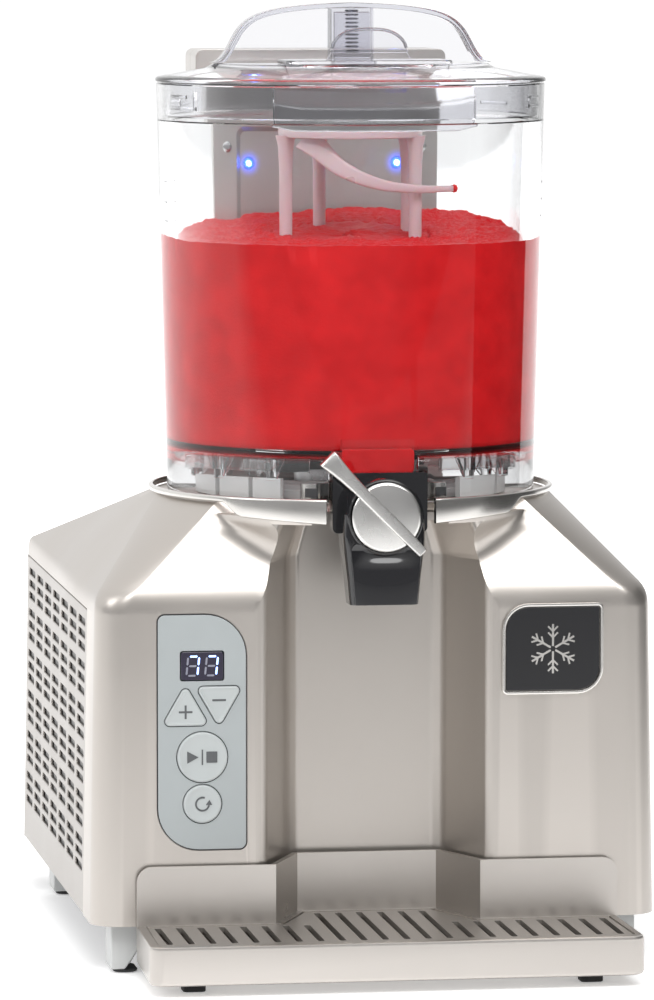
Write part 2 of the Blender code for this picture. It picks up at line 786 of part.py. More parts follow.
def splash_outline():
    back = tray_outline(0)[2:]
    front = tray_outline(SPLASH_THICKNESS)[2:]
    ends = [(TRAY_REAR_HALF, front[0][1])] + list(front[1:-1]) + [(-TRAY_REAR_HALF, front[-1][1])]
    return list(back) + ends[::-1]


def drip_tray(parent):
    tray = solid("drip_tray", prism(tray_outline(0), TRAY_BOTTOM, TRAY_TOP), satin_metal(), parent)
    combine(tray, prism(splash_outline(), TRAY_BOTTOM + 9 * MM, SPLASH_TOP), "UNION")
    combine(tray, prism(tray_outline(4.5 * MM), TRAY_TOP - 3.5 * MM, TRAY_TOP + 9 * MM))
    combine(tray, prism(tray_outline(8 * MM), TRAY_BOTTOM + 3 * MM, TRAY_TOP + 9 * MM))
    feet_mesh = bmesh.new()
    for x in (-110 * MM, 98 * MM):
        for y in (-148 * MM, -112 * MM):
            box(x, x + 12 * MM, y, y + 12 * MM, 0, TRAY_BOTTOM + 1 * MM, feet_mesh)
    combine(tray, feet_mesh, "UNION")


def drip_grille(parent):
    grille = solid(
        "drip_grille", prism(tray_outline(4.9 * MM), TRAY_TOP - 3.1 * MM, TRAY_TOP - 0.3 * MM),
        material("grille_metal", (0.45, 0.43, 0.41), 0.35, 0.9), parent,
    )
    slots = bmesh.new()
    first = -GRILLE_PITCH * (GRILLE_SLOTS - 1) / 2
    for i in range(GRILLE_SLOTS):
        x = first + GRILLE_PITCH * i
        back = -64 * MM if abs(x) < 30 * MM else -103 * MM
        half = GRILLE_SLOT / 2
        box(x - half, x + half, -156 * MM, back, 0, 40 * MM, slots)
    combine(grille, slots)


# ---------------------------------------------------------------- tank

def tank_radius(z):
    rise = (z - TANK_BOTTOM) / (TANK_TOP - TANK_BOTTOM)
    return TANK_BOTTOM_RADIUS + (TANK_TOP_RADIUS - TANK_BOTTOM_RADIUS) * rise


def vessel_radius(z):
    rise = (z - FLOOR_Z) / (VESSEL_TOP - FLOOR_Z)
    return VESSEL_BOTTOM_RADIUS + (VESSEL_TOP_RADIUS - VESSEL_BOTTOM_RADIUS) * rise


def tank(parent):
    steps = 56
    profile = (
        (tank_radius(TANK_BOTTOM), TANK_BOTTOM), (tank_radius(TANK_TOP), TANK_TOP),
        (tank_radius(TANK_TOP) - TANK_WALL, TANK_TOP),
        (tank_radius(TANK_BOTTOM) - TANK_WALL, TANK_BOTTOM),
    )
    wall = solid("tank_outer_wall", turned(profile, steps=steps), clear_plastic(), parent)
    notch = 29.5 * MM
    combine(wall, box(-notch, notch, -120 * MM, -60 * MM, 230 * MM, 272 * MM))
    rim = tank_radius(VESSEL_TOP) - TANK_WALL - GAP
    profile = (
        (36 * MM, FLOOR_Z), (vessel_radius(FLOOR_Z), FLOOR_Z),
        (vessel_radius(VESSEL_TOP - 2.4 * MM), VESSEL_TOP - 2.4 * MM),
        (rim, VESSEL_TOP - 2.4 * MM), (rim, VESSEL_TOP),
        (vessel_radius(VESSEL_TOP) - VESSEL_WALL, VESSEL_TOP),
        (vessel_radius(FLOOR_Z + FLOOR_THICKNESS) - VESSEL_WALL, FLOOR_Z + FLOOR_THICKNESS),
        (36 * MM, FLOOR_Z + FLOOR_THICKNESS),
    )
    vessel = solid("tank_inner_vessel", turned(profile, steps=steps), clear_plastic(), parent)
    combine(vessel, box(
        -21 * MM, 21 * MM, -91.9 * MM, -60 * MM, SUMP_LOW, FLOOR_Z + 1 * MM), "UNION")
    combine(vessel, box(
        -18.8 * MM, 18.8 * MM, -86.4 * MM, -62 * MM, SUMP_LOW + 2.2 * MM, FLOOR_Z + 9 * MM))
    combine(vessel, rod(3.8 * MM, -99 * MM, -80 * MM, (0, 0, PORT_Z), "Y", 20))
    gasket = turned((
        (30.5 * MM, 265 * MM), (39 * MM, 265 * MM), (39 * MM, 269.5 * MM), (35.6 * MM, 269.6 * MM),
        (35.6 * MM, 276 * MM), (30.5 * MM, 276 * MM),
    ))
    solid("tank_gasket", gasket, rubber(), parent)
    low, high = FLOOR_Z + FLOOR_THICKNESS + 0.4 * MM, SLUSH_TOP
    profile = (
        (SWEEP_RADIUS, low), (vessel_radius(low) - VESSEL_WALL - 0.4 * MM, low),
        (vessel_radius(high) - VESSEL_WALL - 0.4 * MM, high), (SWEEP_RADIUS, high),
    )
    slush = turned(profile, steps=steps)
    solid("slush_fill", slush, material("slush_red", (0.62, 0.012, 0.016), 0.35), parent)


def agitator(parent):
    """The dasher: a hub on the drum's top, four posts, a ring round the drum and a cap disc."""
    hub_low, hub_high = DRUM_TOP + 1.6 * MM, DRUM_TOP + 7 * MM
    milky = material("milky_plastic", (0.85, 0.8, 0.8), 0.35, 0.0, 0.6)
    hub = turned(((SHAFT_RADIUS + GAP, hub_low), (40 * MM, hub_low), (40 * MM, hub_high),
                  (SHAFT_RADIUS + GAP, hub_high)), steps=36)
    frame = solid("agitator_frame", hub, milky, parent)
    posts = bmesh.new()
    for angle in POST_ANGLES:
        x, y, _ = about("Z", (0, 0, 0), POST_RADIUS - 0.4 * MM, math.radians(angle), 0)
        rod(3.3 * MM, 280 * MM, DASHER_TOP - 1 * MM, (x, y, 0), "Z", 10, posts)
    combine(frame, posts, "UNION")
    combine(frame, rod(38.4 * MM, DASHER_TOP - 2.6 * MM, DASHER_TOP, steps=36), "UNION")
    ring = turned(((33.4 * MM, 279 * MM), (39.6 * MM, 279 * MM), (39.6 * MM, 284 * MM),
                   (33.4 * MM, 284 * MM)), steps=36)
    combine(frame, ring, "UNION")
    points = [
        (-20 * MM, -20 * MM, 431 * MM), (-10 * MM, -27 * MM, 420 * MM), (8 * MM, -30 * MM, 412 * MM),
        (30 * MM, -25 * MM, 408 * MM), (53 * MM, -12 * MM, 406 * MM),
    ]
    tube("agitator_arm", points, 2.6 * MM, milky, parent)


# ---------------------------------------------------------------- lid

def lid(parent):
    skirt_out, skirt_in, skirt_low = 99.4 * MM, 97 * MM, 445 * MM
    under = 2 * MM
    profile = (
        (0, LID_TOP_Z - under), (0, LID_TOP_Z), (LID_TOP_RADIUS, LID_TOP_Z),
        (LID_TOP_RADIUS + 4 * MM, LID_TOP_Z - 2.6 * MM), (96 * MM, LID_FLANGE_Z + 1.2 * MM),
        (LID_RADIUS, LID_FLANGE_Z), (LID_RADIUS, TANK_TOP + 0.4 * MM),
        (skirt_out, TANK_TOP + 0.4 * MM), (skirt_out, skirt_low), (skirt_in, skirt_low),
        (skirt_in, LID_FLANGE_Z - 1.2 * MM), (LID_TOP_RADIUS + 2 * MM, LID_TOP_Z - 5 * MM),
        (LID_TOP_RADIUS - 1 * MM, LID_TOP_Z - under),
    )
    cover = solid("lid_cover", turned(profile, steps=56), clear_plastic(), parent)
    combine(cover, box(-36 * MM, 36 * MM, -64 * MM, -35 * MM, 460 * MM, 480 * MM))
    outline = handle_outline(0)
    handle = solid("lid_handle", slab(outline, -8 * MM, 8 * MM), clear_plastic(), parent)
    pockets = bmesh.new()
    column = 12 * MM
    for side in (-1, 1):
        window = [(x, z) for x, z in handle_outline(3 * MM) if x * side >= column]
        edge = [point for point in window if point[1] > LID_TOP_Z + 4 * MM]
        top = max(z for _, z in edge) + 0.6 * MM
        window = window + ([(side * column, top), (side * column, LID_TOP_Z + 3.3 * MM)])
        window = sorted(window, key=lambda p: math.atan2(p[1] - 487 * MM, p[0] - side * 35 * MM))
        for y0, y1 in ((-20 * MM, -1.3 * MM), (1.3 * MM, 20 * MM)):
            slab(window, y0, y1, pockets)
    combine(handle, pockets)


def handle_outline(inset):
    """The arch over the lid: flared feet, steep shoulders and a crowned top."""
    half = [
        (HANDLE_HALF, LID_TOP_Z + GAP), (70 * MM, LID_TOP_Z + 4 * MM), (65 * MM, 484 * MM),
        (61.5 * MM, 490.5 * MM), (56 * MM, 496 * MM), (48 * MM, 500 * MM), (36 * MM, 502.5 * MM),
        (20 * MM, 504.2 * MM), (0, HANDLE_TOP_Z),
    ]
    if inset:
        centre_z = LID_TOP_Z + 14 * MM
        moved = []
        for x, z in half:
            away = Vector((x, z - centre_z))
            moved.append((x - inset * away.normalized().x * 1.2, z - inset * away.normalized().y))
        moved[0] = (62 * MM, LID_TOP_Z + 3.3 * MM)
        half = moved
    return half + [(-x, z) for x, z in half[-2::-1]]


def fill_hatch(parent):
    plate = box(
        -44 * MM, 44 * MM, -70 * MM, HATCH_HINGE_Y - 1 * MM, LID_TOP_Z + 0.4 * MM, LID_TOP_Z + 2.6 * MM
    )
    hatch = solid("fill_hatch", plate, clear_plastic(), parent)
    tab = slab(
        [(x * MM, z * MM) for x, z in (
            (-20.5, 475), (20.5, 475), (19.5, 482), (15, 488.5), (8, 491.8),
            (-8, 491.8), (-15, 488.5), (-19.5, 482),
        )],
        -64 * MM, -61 * MM,
    )
    combine(hatch, tab, "UNION")


# ---------------------------------------------------------------- tap

def tap_body(parent):
    flange = box(
        -TAP_FLANGE_HALF, TAP_FLANGE_HALF, -100 * MM, -92.4 * MM, 228 * MM, 271 * MM
    )
    body = solid("tap_body", flange, gloss_black(), parent)
    barrel = rod(TAP_BARREL_RADIUS, -118 * MM, -98 * MM, (0, 0, TAP_Z), "Y", 36)
    combine(body, barrel, "UNION")
    chute = loft([
        [(-19.4 * MM, -117 * MM, 238 * MM), (19.4 * MM, -117 * MM, 238 * MM),
         (19.4 * MM, -95 * MM, 238 * MM), (-19.4 * MM, -95 * MM, 238 * MM)],
        [(-19.2 * MM, -119.5 * MM, SPOUT_BOTTOM), (19.2 * MM, -119.5 * MM, SPOUT_BOTTOM),
         (19.2 * MM, -99 * MM, SPOUT_BOTTOM), (-19.2 * MM, -99 * MM, SPOUT_BOTTOM)],
    ])
    combine(body, chute, "UNION")
    combine(body, box(-14 * MM, 14 * MM, -116 * MM, -102.5 * MM, 180 * MM, 236 * MM))
    combine(body, rod(9.4 * MM, -130 * MM, -98.6 * MM, (0, 0, TAP_Z), "Y", 28))
    combine(body, rod(3.8 * MM, -104 * MM, -85 * MM, (0, 0, PORT_Z), "Y", 20))
    combine(body, rod(3.8 * MM, 240 * MM, PORT_Z, (0, -102.5 * MM, 0), "Z", 20))
    combine(body, rod(7 * MM, -94.6 * MM, -85 * MM, (0, 0, PORT_Z), "Y", 24))
    ring = turned(((4.4 * MM, -94.2 * MM), (6.6 * MM, -94.2 * MM), (6.6 * MM, -92.3 * MM),
                   (4.4 * MM, -92.3 * MM)), (0, 0, PORT_Z), "Y", 24)
    solid("tap_seal", ring, rubber(), parent)


def tap_knob(parent):
    knob = turned(
        ((0, -122.4 * MM), (KNOB_RADIUS - 1 * MM, -122.4 * MM), (KNOB_RADIUS, -121.4 * MM),
         (KNOB_RADIUS, -118.4 * MM), (0, -118.4 * MM)),
        (0, 0, TAP_Z), "Y", 36,
    )
    lever = solid("tap_lever", knob, bright_metal(), parent)
    along = Vector((-0.707, 0.707))
    across = Vector((0.707, 0.707))
    shape = ((-26.5, 2.4), (-14, 3.1), (20, 3.1), (38, 4.0), (44.5, 5.2))
    edge = [along * (a * MM) + across * (w * MM) for a, w in shape]
    edge += [along * (a * MM) - across * (w * MM) for a, w in shape[::-1]]
    fin = slab([(p.x, p.y + TAP_Z) for p in edge], -127.5 * MM, -120.5 * MM)
    combine(lever, fin, "UNION")
    plug = rod(9 * MM, -118 * MM, -99 * MM, (0, 0, TAP_Z), "Y", 28)
    valve = solid("valve_plug", plug, pale_plastic(), parent)
    combine(valve, rod(3.5 * MM, 200 * MM, 280 * MM, (0, -105 * MM, 0), "Z", 20))


def tap_bracket():
    outline = (
        (-38, -84), (-30, -88), (-30, -70), (30, -70), (30, -88), (38, -84), (38, -64), (-38, -64),
    )
    solid(
        "tap_bracket", prism([(x * MM, y * MM) for x, y in outline], DECK_Z + GAP, 256 * MM),
        bright_metal(),
    )


def plinth_ring():
    ring = arc_band(79 * MM, 82.5 * MM, -55, 235, lambda share: DECK_Z + GAP, 258.6 * MM, 36)
    solid("plinth_ring", ring, pale_plastic())


# ---------------------------------------------------------------- cooling and drive

def drive():
    profile = (
        (40 * MM, 236 * MM), (40 * MM, 242.2 * MM), (DRUM_RADIUS, 242.2 * MM), (DRUM_RADIUS, DRUM_TOP),
        (4.6 * MM, DRUM_TOP), (4.6 * MM, DRUM_TOP - 2.4 * MM), (28 * MM, DRUM_TOP - 2.4 * MM),
        (28 * MM, 236 * MM),
    )
    solid("evaporator_drum", turned(profile), material("steel", (0.6, 0.6, 0.6), 0.25, 1.0))
    gearbox = turned((
        (4.5 * MM, 217 * MM), (4.5 * MM, 235.6 * MM), (16 * MM, 235.6 * MM), (24 * MM, 232 * MM),
        (24 * MM, 200 * MM), (0, 200 * MM), (0, 217 * MM),
    ), steps=28)
    solid("gearbox", gearbox, dark_steel())
    motor = turned((
        (0, 138 * MM), (16 * MM, 138 * MM), (19 * MM, 142 * MM), (19 * MM, 199.6 * MM),
        (0, 199.6 * MM),
    ), steps=28)
    solid("gear_motor", motor, dark_steel())


def drive_shaft(parent):
    solid(
        "drive_shaft", rod(SHAFT_RADIUS, 217.4 * MM, DRUM_TOP + 8 * MM, steps=16), bright_metal(), parent
    )


def cooling():
    can = turned((
        (0, 29.6 * MM), (40 * MM, 29.6 * MM), (50 * MM, 38 * MM), (50 * MM, 112 * MM), (44 * MM, 128 * MM),
        (25 * MM, 137 * MM), (0, 139 * MM),
    ), (-80 * MM, 130 * MM, 0), steps=32)
    solid("compressor", can, material("black_paint", (0.02, 0.02, 0.02), 0.45))
    x, y, z = FAN_CENTRE
    fins = box(120 * MM, 137 * MM, 28 * MM, 162 * MM, 46 * MM, 178 * MM)
    condenser = solid("condenser", fins, material("alloy", (0.6, 0.6, 0.61), 0.4, 0.9))
    gaps = bmesh.new()
    for i in range(9):
        low = 54 * MM + 13.5 * MM * i
        box(110 * MM, 134 * MM, 33 * MM, 157 * MM, low, low + 8 * MM, gaps)
    combine(condenser, gaps)
    shroud = solid(
        "fan_shroud", box(x - 8 * MM, x + 8 * MM, 34 * MM, 156 * MM, 51 * MM, 173 * MM),
        gloss_black(),
    )
    combine(shroud, rod(FAN_RADIUS + 2 * MM, -20 * MM, 20 * MM, FAN_CENTRE, "X", 36))
    motor = turned(((3 * MM, 0), (3 * MM, 27 * MM), (16 * MM, 27 * MM), (18 * MM, 24 * MM),
                    (18 * MM, -8 * MM), (0, -8 * MM), (0, 0)),
                   (x - 36 * MM, y, z), "X", 28)
    solid("fan_motor", motor, dark_steel())
    drier = turned((
        (0, 60 * MM), (4 * MM, 62 * MM), (9 * MM, 70 * MM), (9 * MM, 120 * MM), (4 * MM, 128 * MM),
        (0, 130 * MM),
    ), (-10 * MM, 182 * MM, 0), steps=20)
    solid("filter_drier", drier, copper())
    route = [
        (-62 * MM, 108 * MM, 145 * MM), (-58 * MM, 88 * MM, 175 * MM), (-50 * MM, 55 * MM, 208 * MM),
        (-38 * MM, 22 * MM, 226 * MM), (-34 * MM, 12 * MM, 232 * MM),
    ]
    tube("refrigerant_pipe", route, 3.2 * MM, copper())


def fan_blade(middle, mesh):
    """One twisted blade of the fan, as a loft from its root to its tip."""
    sections = ((10 * MM, 38, 26), (30 * MM, 30, 30), (FAN_RADIUS - 1 * MM, 22, 30))
    thickness, deepest = 0.7 * MM, 5.4 * MM
    loops = []
    for radius, twist, width in sections:
        reach = math.radians(width / 2)
        lean = min(math.tan(math.radians(twist)) * radius * reach, deepest)
        loop = []
        for sign, face in ((-1, -1), (1, -1), (1, 1), (-1, 1)):
            along = sign * lean + face * thickness
            loop.append(about("X", FAN_CENTRE, radius, middle + sign * reach, along))
        loops.append(loop)
    return loft(loops, mesh)


def fan_rotor(parent):
    profile = ((0, -7 * MM), (13 * MM, -7 * MM), (13 * MM, 6 * MM), (0, 6 * MM))
    rotor = solid("fan_rotor", turned(profile, FAN_CENTRE, "X", 24), pale_plastic(), parent)
    blades = bmesh.new()
    for i in range(FAN_BLADES):
        fan_blade(2 * math.pi * i / FAN_BLADES, blades)
    combine(rotor, blades, "UNION")
    combine(rotor, rod(2.6 * MM, -34 * MM, -6 * MM, FAN_CENTRE, "X", 12), "UNION")


# ---------------------------------------------------------------- assembly

def main():
    clear_scene()
    base_pan()
    feet()
    housing_shell()
    side_panel("side_panel_left", -1)
    side_panel("side_panel_right", 1)
    rear_panel()
    power_inlet()
    collar("collar_left", 254.5, 118)
    collar("collar_right", 285.5, 422)
    tower()
    controls()
    badge()
    plinth_ring()
    tap_bracket()
    drive()
    cooling()
    shaft_axis = anchor("drive_axis", (0, 0, DRUM_TOP))
    drive_shaft(shaft_axis)
    fan_axis = anchor("fan_axis", FAN_CENTRE)
    fan_rotor(fan_axis)
    tray_frame = anchor("tray_frame", (0, TRAY_FRONT, TRAY_BOTTOM))
    drip_tray(tray_frame)
    drip_grille(tray_frame)
    tank_frame = anchor("tank_frame", (0, 0, TANK_BOTTOM))
    tank(tank_frame)
    tap_body(tank_frame)
    agitator(anchor("agitator_axis", (0, 0, FLOOR_Z), tank_frame))
    tap_knob(anchor("tap_axis", (0, -120 * MM, TAP_Z), tank_frame))
    lid_frame = anchor("lid_frame", (0, 0, LID_FLANGE_Z), tank_frame)
    lid(lid_frame)
    fill_hatch(anchor("hatch_axis", (0, HATCH_HINGE_Y, LID_TOP_Z + 1.5 * MM), lid_frame))
    for obj in bpy.data.objects:
        if obj.parent is None:
            obj.location.y -= CENTRE_Y
        if "at" in obj:
            del obj["at"]


main()
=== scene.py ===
import math

import bmesh
import bpy
from mathutils import Matrix, Vector, noise


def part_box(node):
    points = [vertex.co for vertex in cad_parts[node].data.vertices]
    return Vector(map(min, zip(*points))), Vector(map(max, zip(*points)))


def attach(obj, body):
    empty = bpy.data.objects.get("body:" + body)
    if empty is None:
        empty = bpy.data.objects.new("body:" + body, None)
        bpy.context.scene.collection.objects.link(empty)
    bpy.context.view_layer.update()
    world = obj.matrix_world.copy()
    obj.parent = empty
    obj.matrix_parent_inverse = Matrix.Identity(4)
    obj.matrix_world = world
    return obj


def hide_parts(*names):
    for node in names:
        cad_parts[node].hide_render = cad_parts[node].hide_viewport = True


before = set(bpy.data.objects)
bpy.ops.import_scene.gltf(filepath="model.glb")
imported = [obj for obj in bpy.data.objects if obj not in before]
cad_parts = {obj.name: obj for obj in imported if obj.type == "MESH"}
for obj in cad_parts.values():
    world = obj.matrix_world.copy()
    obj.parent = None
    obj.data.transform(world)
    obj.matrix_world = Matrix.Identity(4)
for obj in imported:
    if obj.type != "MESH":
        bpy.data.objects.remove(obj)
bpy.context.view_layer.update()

# The frame is in metres. Shapes are laid out in millimetres about the tank's axis, with z = 0 on the
# floor, and put() moves them into the frame.
MM = 0.001
DRUM_LOW, DRUM_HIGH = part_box("evaporator_drum")
AXIS = Vector(((DRUM_LOW.x + DRUM_HIGH.x) / 2, (DRUM_LOW.y + DRUM_HIGH.y) / 2, 0))
DRUM_TOP = DRUM_HIGH.z / MM
INTO_FRAME = Matrix.Translation(AXIS) @ Matrix.Scale(MM, 4)


def near(node):
    """A CAD node's lowest and highest corner in millimetres, measured from the tank's axis."""
    low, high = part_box(node)
    return (low - AXIS) / MM, (high - AXIS) / MM


BODY_LOW, BODY_HIGH = near("housing_shell")
PANEL_LOW, PANEL_HIGH = near("side_panel_left")
FACE_LOW, FACE_HIGH = near("control_panel")
FRONT_Y = FACE_LOW.y + 0.5
BODY_HALF = BODY_HIGH.x
BODY_REAR = BODY_HIGH.y
BODY_BOTTOM = BODY_LOW.z
DECK_Z = near("collar_left")[1].z - 3.6
DRAFT = 3
FOLD_Z = 196.8
FOLD_EASE = 8
DECK_RADIUS = 105.2
# The flared bowl under the collar, as radius and height.
BOWL = ((78.3, 197), (97.5, 221), (107.5, 236), (107.8, 239.6))
BOWL_TOP = 239.3


# ---------------------------------------------------------------- materials

def shader_nodes(name, colour, roughness, metallic=0.0, **sockets):
    """A new material with one Principled shader, and its nodes and links."""
    made = bpy.data.materials.new(name)
    made.use_nodes = True
    made.diffuse_color = (*colour, 1)
    nodes, links = made.node_tree.nodes, made.node_tree.links
    shader = nodes["Principled BSDF"]
    shader.inputs["Base Color"].default_value = (*colour, 1)
    shader.inputs["Roughness"].default_value = roughness
    shader.inputs["Metallic"].default_value = metallic
    for socket, value in sockets.items():
        shader.inputs[socket.replace("_", " ")].default_value = value
    return made, nodes, links, shader


def place_of(nodes, links, stretch=(1, 1, 1)):
    """The object's own coordinates, optionally stretched, for procedural textures."""
    coords = nodes.new("ShaderNodeTexCoord")
    mapping = nodes.new("ShaderNodeMapping")
    mapping.inputs["Scale"].default_value = stretch
    links.new(coords.outputs["Object"], mapping.inputs["Vector"])
    return mapping.outputs["Vector"]


def grain(nodes, links, where, scale, detail):
    """Procedural noise at a place, from 0 to 1."""
    texture = nodes.new("ShaderNodeTexNoise")
    texture.inputs["Scale"].default_value = scale
    texture.inputs["Detail"].default_value = detail
    texture.inputs["Roughness"].default_value = 0.55
    links.new(where, texture.inputs["Vector"])
    return texture.outputs["Fac"]


def remap(nodes, links, value, low, high, into_low, into_high):
    """The value moved from one range to another, and kept inside it."""
    node = nodes.new("ShaderNodeMapRange")
    for socket, number in zip(("From Min", "From Max", "To Min", "To Max"),
                              (low, high, into_low, into_high)):
        node.inputs[socket].default_value = number
    links.new(value, node.inputs["Value"])
    return node.outputs["Result"]


def blend_colours(nodes, links, share, first, second):
    """The second colour laid over the first by a share. Either may be another node's output."""
    node = nodes.new("ShaderNodeMix")
    node.data_type = "RGBA"
    for index, colour in ((6, first), (7, second)):
        if isinstance(colour, tuple):
            node.inputs[index].default_value = (*colour, 1)
        else:
            links.new(colour, node.inputs[index])
    links.new(share, node.inputs["Factor"])
    return node.outputs[2]


def add_bump(nodes, links, shader, height, strength, distance):
    """Relief from a height, over a distance in metres."""
    node = nodes.new("ShaderNodeBump")
    node.inputs["Strength"].default_value = strength
    node.inputs["Distance"].default_value = distance
    links.new(height, node.inputs["Height"])
    links.new(node.outputs["Normal"], shader.inputs["Normal"])


def worn_edges(nodes, links):
    """A share that rises on exposed edges."""
    geometry = nodes.new("ShaderNodeNewGeometry")
    return remap(nodes, links, geometry.outputs["Pointiness"], 0.53, 0.62, 0.0, 1.0)


def tint(colour, share):
    """The colour made darker or lighter."""
    return tuple(min(1, c * share) for c in colour)


def painted_metal(name, colour, roughness, metallic, flake=0.05):
    """Sprayed metallic paint: fine flake, faint cloudiness and slightly rubbed edges."""
    made, nodes, links, shader = shader_nodes(name, colour, roughness, metallic)
    where = place_of(nodes, links)
    cloud = grain(nodes, links, where, 14, 4)
    flakes = grain(nodes, links, where, 2600, 2)
    tone = blend_colours(nodes, links, cloud, tint(colour, 0.94), tint(colour, 1.05))
    rubbed = blend_colours(nodes, links, worn_edges(nodes, links), tone, tint(colour, 1.12))
    links.new(rubbed, shader.inputs["Base Color"])
    links.new(remap(nodes, links, cloud, 0.3, 0.7, roughness - 0.03, roughness + 0.05),
              shader.inputs["Roughness"])
    add_bump(nodes, links, shader, flakes, flake, 0.2 * MM)
    return made


def polished_metal(name, colour, roughness, stretch, scale=900):
    """Bare or plated metal with fine drawn lines."""
    made, nodes, links, shader = shader_nodes(name, colour, roughness, 1.0)
    lines = grain(nodes, links, place_of(nodes, links, stretch), scale, 3)
    smears = grain(nodes, links, place_of(nodes, links), 30, 3)
    links.new(remap(nodes, links, smears, 0.3, 0.7, roughness * 0.8, roughness * 1.3),
              shader.inputs["Roughness"])
    links.new(blend_colours(nodes, links, lines, tint(colour, 0.9), colour), shader.inputs["Base Color"])
    add_bump(nodes, links, shader, lines, 0.08, 0.1 * MM)
    return made


def moulded_plastic(name, colour, roughness, bump=0.1, scale=1500, **sockets):
    """Moulded plastic with a fine skin texture and slight colour variation."""
    made, nodes, links, shader = shader_nodes(name, colour, roughness, 0.0, **sockets)
    where = place_of(nodes, links)
    cloud = grain(nodes, links, where, 25, 3)
    fine = grain(nodes, links, where, scale, 2)
    tone = blend_colours(nodes, links, cloud, tint(colour, 0.92), tint(colour, 1.06))
    links.new(tone, shader.inputs["Base Color"])
    links.new(remap(nodes, links, cloud, 0.3, 0.7, roughness * 0.9, roughness * 1.15),
              shader.inputs["Roughness"])
    add_bump(nodes, links, shader, fine, bump, 0.15 * MM)
    return made


def clear_material(name, colour, roughness, index, ripple=0.03, gloss=0.5):
    """Clear moulded plastic; light from lamps passes on through it to what it holds."""
    made, nodes, links, shader = shader_nodes(
        name, colour, roughness, 0.0, Transmission_Weight=1.0, IOR=index, Specular_IOR_Level=gloss
    )
    where = place_of(nodes, links)
    links.new(remap(nodes, links, grain(nodes, links, where, 18, 3), 0.35, 0.75,
                    roughness, roughness + 0.03), shader.inputs["Roughness"])
    add_bump(nodes, links, shader, grain(nodes, links, where, 45, 2), ripple, 0.3 * MM)
    through = nodes.new("ShaderNodeBsdfTransparent")
    through.inputs["Color"].default_value = (*(c ** 0.5 for c in colour), 1)
    path = nodes.new("ShaderNodeLightPath")
    mix = nodes.new("ShaderNodeMixShader")
    links.new(path.outputs["Is Shadow Ray"], mix.inputs[0])
    links.new(shader.outputs["BSDF"], mix.inputs[1])
    links.new(through.outputs["BSDF"], mix.inputs[2])
    links.new(mix.outputs["Shader"], nodes["Material Output"].inputs["Surface"])
    return made


def slush_material():
    """Packed red ice in syrup: fine grains; where it faces up, darker red with pale specks, partly open dry
    ice and partly painted highlight.
    """
    made, nodes, links, shader = shader_nodes("slush_ice", (0.62, 0.010, 0.014), 0.42,
                                              Specular_IOR_Level=0.12)
    where = place_of(nodes, links)
    cells = nodes.new("ShaderNodeTexVoronoi")
    cells.inputs["Scale"].default_value = 620
    links.new(where, cells.inputs["Vector"])
    clumps = grain(nodes, links, where, 60, 5)
    crystals = remap(nodes, links, cells.outputs["Distance"], 0.0, 0.7, 1.0, 0.0)
    tone = blend_colours(nodes, links, remap(nodes, links, clumps, 0.35, 0.7, 0, 1),
                         (0.50, 0.003, 0.006), (0.64, 0.008, 0.011))
    frosted = blend_colours(nodes, links, remap(nodes, links, crystals, 0.75, 1.0, 0, 0.22),
                            tone, (0.80, 0.06, 0.06))
    facing = nodes.new("ShaderNodeSeparateXYZ")
    links.new(nodes.new("ShaderNodeNewGeometry").outputs["True Normal"], facing.inputs["Vector"])
    upward = remap(nodes, links, facing.outputs["Z"], 0.4, 0.8, 0, 1)
    # Pale specks on the up-facing top: partly open dry ice, partly painted highlight of the light from
    # above.
    open_ice_and_glints = nodes.new("ShaderNodeMath")
    open_ice_and_glints.operation = "MULTIPLY"
    links.new(remap(nodes, links, crystals, 0.62, 0.95, 0, 0.6), open_ice_and_glints.inputs[0])
    links.new(upward, open_ice_and_glints.inputs[1])
    deep = blend_colours(nodes, links, upward, frosted, (0.50, 0.004, 0.008))
    dry_ice_and_glints = blend_colours(nodes, links, open_ice_and_glints.outputs["Value"], deep, (0.95, 0.20, 0.20))
    links.new(dry_ice_and_glints, shader.inputs["Base Color"])
    links.new(remap(nodes, links, clumps, 0.3, 0.7, 0.35, 0.55), shader.inputs["Roughness"])
    add_bump(nodes, links, shader, crystals, 0.10, 0.3 * MM)
    return made


def lit_material(name, colour, strength):
    """A lit lens or display segment, its colour lightened a little at random."""
    made, nodes, links, shader = shader_nodes(
        name, colour, 0.15, Emission_Strength=strength, Coat_Weight=0.5
    )
    shader.inputs["Emission Color"].default_value = (*colour, 1)
    tone = grain(nodes, links, place_of(nodes, links), 300, 2)
    links.new(blend_colours(nodes, links, tone, colour, tuple(min(1, c + 0.15) for c in colour)),
              shader.inputs["Base Color"])
    return made


def woven_fins(name, colour):
    """Aluminium fins: fine upright lines, the dark bands painted shade in the gaps between the fins."""
    made, nodes, links, shader = shader_nodes(name, colour, 0.35, 0.9)
    wave = nodes.new("ShaderNodeTexWave")
    wave.bands_direction = "Y"
    wave.inputs["Scale"].default_value = 260
    wave.inputs["Distortion"].default_value = 0.4
    links.new(place_of(nodes, links), wave.inputs["Vector"])
    # The dark bands are painted shade in the gaps between the fins.
    tone = blend_colours(nodes, links, wave.outputs["Fac"], tint(colour, 0.4), colour)
    links.new(tone, shader.inputs["Base Color"])
    add_bump(nodes, links, shader, wave.outputs["Fac"], 0.6, 0.5 * MM)
    return made


